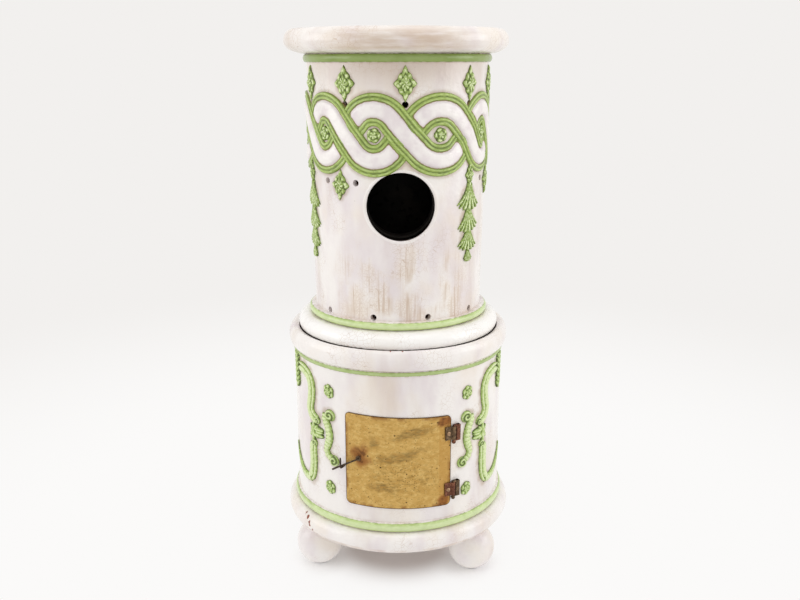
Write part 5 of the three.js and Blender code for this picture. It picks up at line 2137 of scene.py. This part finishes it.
@dataclass
class FireDoor:
    """The curved sheet with its two hinges and its latch."""

    wall_r: float = 194.5
    sheet_r: float = 195.2
    thickness: float = 1.6
    half_angle: float = 28.2
    bottom: float = 174.5
    height: float = 174.0
    sag: float = 7.0
    corner: float = 9.0
    gap: float = CLEARANCE
    pin_r: float = 1.8
    eye_r: float = 3.8
    leaf_width: float = 13.0
    leaf_height: float = 25.0
    leaf_thickness: float = 2.0
    rivet_r: float = 4.0
    lug: float = 2.0
    ball_r: float = 3.6
    bracket_width: float = 8.0
    hinge_heights: tuple = (308.0, 201.0)
    latch_bearing: float = -20.8
    latch_z: float = 264.5
    wire_r: float = 1.5
    lever_reach: float = 48.5
    lever_fall: float = 27.0
    lever_bend: float = 3.2
    bush_r: float = 4.8
    bush_flange: float = 1.2
    catch_bearing: float = -29.3
    catch_height: float = 20.0

    def __post_init__(self) -> None:
        """Works out the places that follow from the sizes."""
        self.outer_r = self.sheet_r + self.thickness
        self.half = math.radians(self.half_angle) * self.sheet_r
        self.axis_r = self.wall_r + 0.7 + self.eye_r
        self.axis_bearing = self.half_angle + math.degrees((self.eye_r + 0.6) / self.axis_r)
        self.leaf_r = self.outer_r + self.gap
        reach = self.eye_r + self.leaf_width / 2 + self.gap
        self.rivet_bearing = self.axis_bearing - math.degrees(reach / self.leaf_r)

    def outline(self, inset: float) -> np.ndarray:
        """Gives the door's outline.

        Args:
            inset: How far inside the sheet's edge it runs.

        Returns:
            Points along the arc and up.
        """
        half, low, top = self.half - inset, self.bottom + inset, self.bottom + self.height - inset
        corners = [(half, low - self.sag * 0.6), (half, top - self.sag), (-half, top), (-half, low)]
        points = []
        for quarter, (x, z) in enumerate(corners):
            middle_x = x - math.copysign(self.corner, x)
            middle_z = z + (self.corner if quarter in (0, 3) else -self.corner)
            for i in range(7):
                turn = math.pi / 2 * (quarter - 1 + i / 6)
                points.append(
                    (middle_x + self.corner * math.cos(turn), middle_z + self.corner * math.sin(turn))
                )
        return np.array(points)

    def sheet(self) -> None:
        """Beats out the sheet, with its worn edge and its dents."""
        columns, rows = 96, 72
        across = self.half * np.sin(np.linspace(-math.pi / 2, math.pi / 2, columns + 1))
        share = (across + self.half) / (2 * self.half)
        into = np.clip(np.abs(across) - (self.half - self.corner), 0, self.corner)
        corner = self.corner - np.sqrt(np.maximum(self.corner**2 - into**2, 0))
        low = self.bottom - 0.6 * self.sag * share + corner
        top = self.bottom + self.height - self.sag * share - corner
        v = 0.5 + 0.5 * np.sin(np.linspace(-math.pi / 2, math.pi / 2, rows + 1))
        z = low[:, None] + (top - low)[:, None] * v[None, :]
        u = np.repeat(across[:, None], rows + 1, 1)
        edge = np.minimum(np.minimum(self.half - np.abs(u), z - low[:, None]), top[:, None] - z)
        dents = 0.28 * np.sin(u / 17 + 1.2 * np.sin(z / 23)) * np.sin(z / 19 + u / 41)
        worn = 0.5 * np.exp(-np.maximum(edge, 0) / 1.2)
        strip = 0.5 / (1 + np.exp(-(u - 71) * 2.0))
        turn = u / self.sheet_r
        layers = []
        front = self.outer_r - 0.4 + dents * np.clip(edge / 12, 0, 1) - worn + strip
        for radius in (front, np.full_like(u, self.sheet_r)):
            layers.append(np.stack([radius * np.sin(turn), -radius * np.cos(turn), z], -1).reshape(-1, 3))
        index = np.arange(u.size).reshape(u.shape)
        quads = np.stack([index[:-1, :-1], index[1:, :-1], index[1:, 1:], index[:-1, 1:]], -1).reshape(-1, 4)
        ring = np.concatenate([index[:, 0], index[-1, 1:], index[-2::-1, -1], index[0, -2:0:-1]])
        sides = np.stack([ring, np.roll(ring, -1), np.roll(ring, -1) + u.size, ring + u.size], -1)
        faces = np.vstack([quads, quads[:, ::-1] + u.size, sides]).tolist()
        sheet = Form(np.vstack(layers), faces, {"margin": np.concatenate([edge.ravel(), edge.ravel()])})
        piece("door_sheet", sheet, BRASS, Body.DOOR, ("door_panel",), 50.0)

    def hinges(self) -> None:
        """Makes the two hinges: leaf, rivet, and bracket with its pin."""
        half = self.leaf_height / 2
        back = self.leaf_r + self.gap
        top = back + self.leaf_thickness
        for name, z in zip(("upper", "lower"), self.hinge_heights):
            plate = block(
                (self.leaf_width - 0.6, self.leaf_thickness, self.leaf_height),
                (0, -back - self.leaf_thickness / 2, z), 0.7,
            )
            ends = np.array([(0, -self.axis_r, z + h) for h in (-half, 0.8 - half, half - 0.8, half)])
            eye = rod(ends, [self.eye_r - 0.5, self.eye_r, self.eye_r, self.eye_r - 0.5], 28)
            bridge = block(
                (self.eye_r, self.leaf_thickness, self.leaf_height - 0.4),
                (-self.eye_r * 0.75, -self.axis_r - 0.2, z), 0.6,
            )
            hung = Form.joined([eye, bridge]).moved(bearing=self.axis_bearing)
            leaf = Form.joined([plate.moved(bearing=self.rivet_bearing), hung])
            piece(
                f"hinge_leaf_{name}_plate", leaf, BRONZE if name == "upper" else RED_BRONZE, Body.DOOR,
                (f"hinge_leaf_{name}",),
            )
            turns = np.linspace(0, math.pi / 2, 7)
            seat = top + self.gap
            dome = [(0, -seat - 2.8 * math.sin(t), z) for t in turns[:-1]]
            radii = [self.rivet_r * math.cos(t) for t in turns[:-1]]
            shank = np.array([(0, -self.sheet_r, z), (0, -seat, z)])
            head = Form.joined([rod(np.array(dome), radii, 24), rod(shank, 2.0, 16)])
            head = head.moved(bearing=self.rivet_bearing)
            piece(
                f"hinge_rivet_{name}_head", head, WORN_AND_HIGHLIT_BRONZE, Body.DOOR,
                (f"hinge_rivet_{name}",),
            )
            self.bracket(name, z)

    def bracket(self, name: str, z: float) -> None:
        """Makes one fixed bracket.

        Args:
            name: Which of the two.
            z: Its height.
        """
        half = self.leaf_height / 2 + self.gap
        outside = self.eye_r + 0.6 + self.bracket_width
        reach = outside + self.pin_r
        face = self.wall_r + self.gap
        deep = self.axis_r + self.pin_r + 1 - face
        tall = self.leaf_height + 2 * self.gap + 2 * self.lug
        foot = z - half - self.lug
        parts = [
            rod(np.array([(0, -self.axis_r, foot), (0, -self.axis_r, foot + tall)]), self.pin_r, 18),
            block(
                (self.bracket_width, deep, tall), (outside - self.bracket_width / 2, -face - deep / 2, z), 0.9
            ),
        ]
        for side in (-1, 1):
            spot = (reach / 2 - self.pin_r, -self.axis_r, z + side * (half + self.lug / 2))
            parts.append(block((reach, 2 * self.pin_r + 2, self.lug), spot, 0.6))
        turns = np.linspace(-math.pi / 2 + 0.05, math.pi / 2 - 0.05, 11)
        ball = [(0, -self.axis_r, foot - self.ball_r * 0.7 + self.ball_r * math.sin(t)) for t in turns]
        parts.append(rod(np.array(ball), [self.ball_r * math.cos(t) for t in turns], 20))
        form = Form.joined(parts).moved(bearing=self.axis_bearing)
        piece(
            f"hinge_bracket_{name}_plate", form, RED_BRONZE if name == "upper" else BRONZE, Body.BASE,
            (f"hinge_bracket_{name}",),
        )

    def latch(self) -> None:
        """Bends the latch lever, its eyelet and the hook that it drops behind."""
        face = self.outer_r + self.gap + self.bush_flange
        plane = face + self.lever_bend + self.gap
        slope = self.lever_fall / self.lever_reach
        bend = self.lever_bend
        points = [
            (0, -(self.sheet_r - 9)), (0, -self.sheet_r), (0, -face), (-bend * 0.3, -(plane - bend * 0.3)),
            (-bend, -plane),
        ]
        points += [(-self.lever_reach * t, -plane) for t in (0.25, 0.5, 0.8, 0.93, 1.0)]
        path = smooth_path([(x, y, self.latch_z + min(x, 0) * slope) for x, y in points], 40)
        thick = [self.wire_r, self.wire_r, 1.7, 1.8, 1.2]
        radii = np.interp(np.linspace(0, 1, 41), [0, 0.7, 0.9, 0.98, 1], thick)
        ends = np.array([(0, -(self.sheet_r - depth), self.latch_z) for depth in (4, 6)])
        collar = rod(ends, 3.0, 20)
        lever = Form.joined([rod(path, radii, 14), collar]).moved(bearing=self.latch_bearing)
        piece("latch_lever_wire", lever, WIRE, Body.LATCH, ("latch_lever",))
        bore = self.wire_r + 0.6
        ring = [
            (bore, 0), (3.5, 0), (3.5, 3.4), (self.bush_r, 3.4), (self.bush_r, 4.3), (self.bush_r - 0.5, 4.6),
            (bore, 4.6),
        ]
        eyelet = turned(ring, 32)
        x, y, d = eyelet.points.T
        eyelet.points = np.stack([x, -(self.sheet_r - 1.5) - d, self.latch_z + y], 1)
        piece(
            "latch_eyelet", eyelet.moved(bearing=self.latch_bearing), BRONZE, Body.DOOR,
            ("latch_bush",),
        )
        turn = math.radians(self.latch_bearing - self.catch_bearing)
        across = plane * math.tan(turn)
        reach = plane / math.cos(turn) + 2 * self.wire_r + 2 * self.gap
        low = self.latch_z - across * slope - 2 * self.wire_r * math.hypot(1, slope) - self.gap
        hook = [
            (self.wall_r - 12, 0), (self.wall_r, 0), (reach - 3.0, 0), (reach - 0.9, 0.9), (reach, 3.0),
            (reach, 10), (reach, self.catch_height),
        ]
        path = smooth_path([(0, -r, low + h) for r, h in hook], 34)
        radii = np.interp(np.linspace(0, 1, 35), [0, 0.9, 0.97, 1], [self.wire_r, self.wire_r, 1.4, 0.7])
        piece(
            "latch_catch_hook", rod(path, radii, 14).moved(bearing=self.catch_bearing), WIRE, Body.BASE,
            ("catch_hook",),
        )

    def build(self) -> None:
        """Builds the door and what it hangs and closes by."""
        self.sheet()
        self.hinges()
        self.latch()


# ------------------------------------------------------------------ what is inside, and the lid


@dataclass
class Firebox:
    """The lining, the grate and the iron smoke way, seen through the door and the flue."""

    plate_z: float = 439.9
    plate_thickness: float = 6.0
    plate_r: float = 171.9
    throat_r: float = 104.0
    spigot: float = 12.0
    chamber_r: float = 111.5
    chamber_wall: float = 1.8
    chamber_height: float = 458.0
    collar_r: float = 58.0
    collar_wall: float = 2.6
    collar_face: float = 121.0
    collar_length: float = 28.0
    flue_z: float = 702.3
    flue_bearing: float = 2.0

    def build(self) -> None:
        """Turns the iron pieces, and dresses the carried-over ones."""
        plate_top = self.plate_z + self.plate_thickness
        spigot_r = self.chamber_r - self.chamber_wall - 0.6
        plate = [
            (self.throat_r, self.plate_z), (self.plate_r - 1, self.plate_z), (self.plate_r, self.plate_z + 1),
            (self.plate_r, plate_top - 1), (self.plate_r - 1, plate_top), (spigot_r, plate_top),
            (spigot_r, plate_top + self.spigot), (self.throat_r, plate_top + self.spigot),
        ]
        piece(
            "smoke_throat_plate", turned(plate, 96), CAST_IRON, Body.BASE, ("firebox_plate",)
        )
        low, inner = plate_top + CLEARANCE, self.chamber_r - self.chamber_wall
        high = low + self.chamber_height
        tube = [(inner, low), (self.chamber_r, low), (self.chamber_r, high), (inner, high)]
        chamber = pierced(
            turned(tube, 120), [borer(self.collar_r + CLEARANCE, self.flue_bearing, self.flue_z, 20, 131, 72)]
        )
        piece(
            "smoke_chamber_tube", chamber, SHEET_IRON, Body.HEATING_DRUM, ("smoke_chamber",)
        )
        skirt, top = self.chamber_r + CLEARANCE, high + CLEARANCE
        cap = [
            (0, top), (skirt, top), (skirt, top - 12), (skirt + 1.8, top - 12), (skirt + 1.8, top + 1),
            (skirt + 0.8, top + 2), (0, top + 2),
        ]
        piece(
            "smoke_chamber_cap", turned(cap, 120), SHEET_IRON, Body.HEATING_DRUM,
            ("smoke_cap",),
        )
        start = self.collar_face - self.collar_length
        bore = self.collar_r - self.collar_wall
        ring = [
            (bore, start), (self.collar_r, start), (self.collar_r, self.collar_face), (bore, self.collar_face)
        ]
        collar = turned(ring, 96)
        x, y, d = collar.points.T
        collar.points = np.stack([x, -d, self.flue_z + y], 1)
        piece(
            "flue_collar_ring", collar.moved(bearing=self.flue_bearing), SHEET_IRON, Body.HEATING_DRUM,
            ("flue_collar",),
        )
        for name in ["hearth_slab"] + [f"liner_brick_{i}" for i in range(1, 7)]:
            self.dressed(name, FIRECLAY)
        self.dressed("grate", CAST_IRON)

    def dressed(self, name: str, finish: Finish) -> None:
        """Gives a carried-over node its finish.

        Args:
            name: The node's name.
            finish: The finish.
        """
        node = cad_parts[name]
        coat = finish.material()
        for place in node.material_slots:
            place.material = coat


@dataclass
class Lid:
    """The glazed lid in the rim's seat."""

    seat_z: float = 965.3
    radius: float = 149.9
    thickness: float = 10.0
    knob_r: float = 15.0
    knob_height: float = 14.0

    def build(self) -> None:
        """Turns the lid with its knob."""
        low = self.seat_z + CLEARANCE
        top = low + self.thickness
        swell = [(0.6, 0.3), (0.72, 0.45), (0.97, 0.62), (1.0, 0.72), (0.86, 0.88), (0.5, 0.98), (0.0, 1.0)]
        outline = [(self.knob_r * 2.2, top), (self.knob_r * 1.3, top + 0.5), (self.knob_r * 0.75, top + 1.6)]
        outline += [(self.knob_r * wide, top + self.knob_height * high) for wide, high in swell]
        profile = [
            (0.0, low), (self.radius - 1, low), (self.radius, low + 1), (self.radius, top - 3),
            (self.radius - 1.2, top - 0.9), (self.radius - 4, top),
        ]
        profile += wall((self.radius - 4, top), outline[0], 20)
        profile += [tuple(p) for p in smooth_path(outline, 36)]
        profile[-1] = (0.0, profile[-1][1])
        piece(
            "lid_with_knob", glazed(turned(profile, 160, 0.2), {}), GLAZE_SMALL, Body.LID,
            ("top_lid",),
        )


# ------------------------------------------------------------------ studio


@dataclass
class Studio:
    """The floor, the light and the camera."""

    distance: float = 1.615
    eye: float = 0.9364
    pitch: float = 15.05
    roll: float = -0.1
    lens: float = 39.96
    shift: float = 0.00265
    world: float = 0.71
    backdrop: str = "#f2f0ee"
    near_floor: str = "#fbfaf9"
    shade: str = "#9c8a80"  # painted shadow on the floor deep under the stove

    def floor(self) -> None:
        """Lays the pale floor with a painted shadow under the stove, which fades into the backdrop far from
        it.
        """
        work = bmesh.new()
        bmesh.ops.create_circle(work, cap_ends=True, segments=96, radius=40.0)
        mesh = bpy.data.meshes.new("floor")
        work.to_mesh(mesh)
        work.free()
        floor = placed("floor", mesh)
        material = bpy.data.materials.new("pale_studio_floor")
        material.use_nodes = True
        material.node_tree.nodes.clear()
        brush = Brush(
            material.node_tree, add_node(material.node_tree, "ShaderNodeTexCoord").outputs["Object"]
        )
        away = brush.vector("LENGTH", brush.where).outputs["Value"]
        # within 0.09 m the floor is plain and takes the stove's shadow; by 0.5 m it is all backdrop
        rim = brush.times(brush.window(away, 0.09, 0.19), 0.9)
        fade = brush.plus(rim, brush.times(brush.window(away, 0.2, 0.5), 0.1))
        for i in range(3):
            turn = math.radians(FireDrum.foot_bearing + 120 * i)
            foot = (
                FireDrum.foot_circle * MM * math.sin(turn), -FireDrum.foot_circle * MM * math.cos(turn), 0
            )
            apart = brush.vector("DISTANCE", brush.where, foot).outputs["Value"]
            fade = brush.times(fade, brush.plus(0.25, brush.times(brush.window(apart, 0.025, 0.075), 0.75)))
        # painted shadow: the floor's colour darkens towards the middle under the stove
        under_stove_shadow = brush.times(brush.window(away, 0.18, 0.09), 0.5)
        near = brush.add("ShaderNodeBsdfDiffuse", {"Color": brush.coats("#ffffff", [(self.shade, under_stove_shadow)])})
        pale = brush.coats(self.near_floor, [(self.backdrop, brush.window(away, 0.7, 2.2))])
        far = brush.add("ShaderNodeEmission", {"Color": pale})
        mixed = brush.add("ShaderNodeMixShader", {0: fade, 1: near.outputs[0], 2: far.outputs[0]})
        brush.add("ShaderNodeOutputMaterial", {0: mixed.outputs[0]})
        mesh.materials.append(material)

    def light(self) -> None:
        """Sets the sky and the soft boxes."""
        scene = bpy.context.scene
        world = bpy.data.worlds.new("studio")
        world.use_nodes = True
        scene.world = world
        world.node_tree.nodes.clear()
        brush = Brush(world.node_tree)
        path = brush.add("ShaderNodeLightPath").outputs
        seen = brush.most(path["Is Camera Ray"], path["Is Glossy Ray"], path["Is Transmission Ray"])
        plain = brush.add("ShaderNodeBackground", {0: linear("#ffffff"), 1: self.world})
        pale = brush.add("ShaderNodeBackground", {0: linear(self.backdrop), 1: 1.0})
        mixed = brush.add("ShaderNodeMixShader", {0: seen, 1: plain.outputs[0], 2: pale.outputs[0]})
        brush.add("ShaderNodeOutputWorld", {0: mixed.outputs[0]})
        boxes = {
            "box_left": ((-2.3, -0.5, 1.3), 1.6, 14.0), "box_right": ((2.3, -0.4, 1.3), 1.6, 14.5),
            "box_top": ((0.0, -0.5, 2.6), 1.8, 13.0),
        }
        for name, (spot, size, power) in boxes.items():
            lamp = bpy.data.lights.new(name, "AREA")
            lamp.size, lamp.energy, lamp.shape = size, power, "SQUARE"
            box = placed(name, lamp)
            box.location = spot
            box.rotation_euler = (Vector((0, 0, 0.5)) - Vector(spot)).to_track_quat("-Z", "Y").to_euler()

    def camera(self) -> None:
        """Sets up the camera at the photograph's angle."""
        data = bpy.data.cameras.new("camera")
        data.lens, data.sensor_width, data.shift_x = self.lens, 36.0, self.shift
        camera = placed("camera", data)
        camera.location = (0.0, -self.distance, self.eye)
        tilt = Matrix.Rotation(
            math.radians(90 - self.pitch), 4, "X"
        ) @ Matrix.Rotation(math.radians(self.roll), 4, "Z")
        camera.rotation_euler = tilt.to_euler()
        bpy.context.scene.camera = camera

    def build(self) -> None:
        """Builds the studio."""
        bpy.context.scene.view_settings.view_transform = "Standard"
        self.floor()
        self.light()
        self.camera()


def main() -> None:
    """Builds every piece."""
    logging.basicConfig(level=logging.INFO, format="%(name)s: %(message)s")
    Studio().build()
    door = FireDoor()
    HeatingDrum().build()
    FireDrum().build(door)
    door.build()
    Firebox().build()
    Lid().build()


if __name__ == "__main__":
    main()
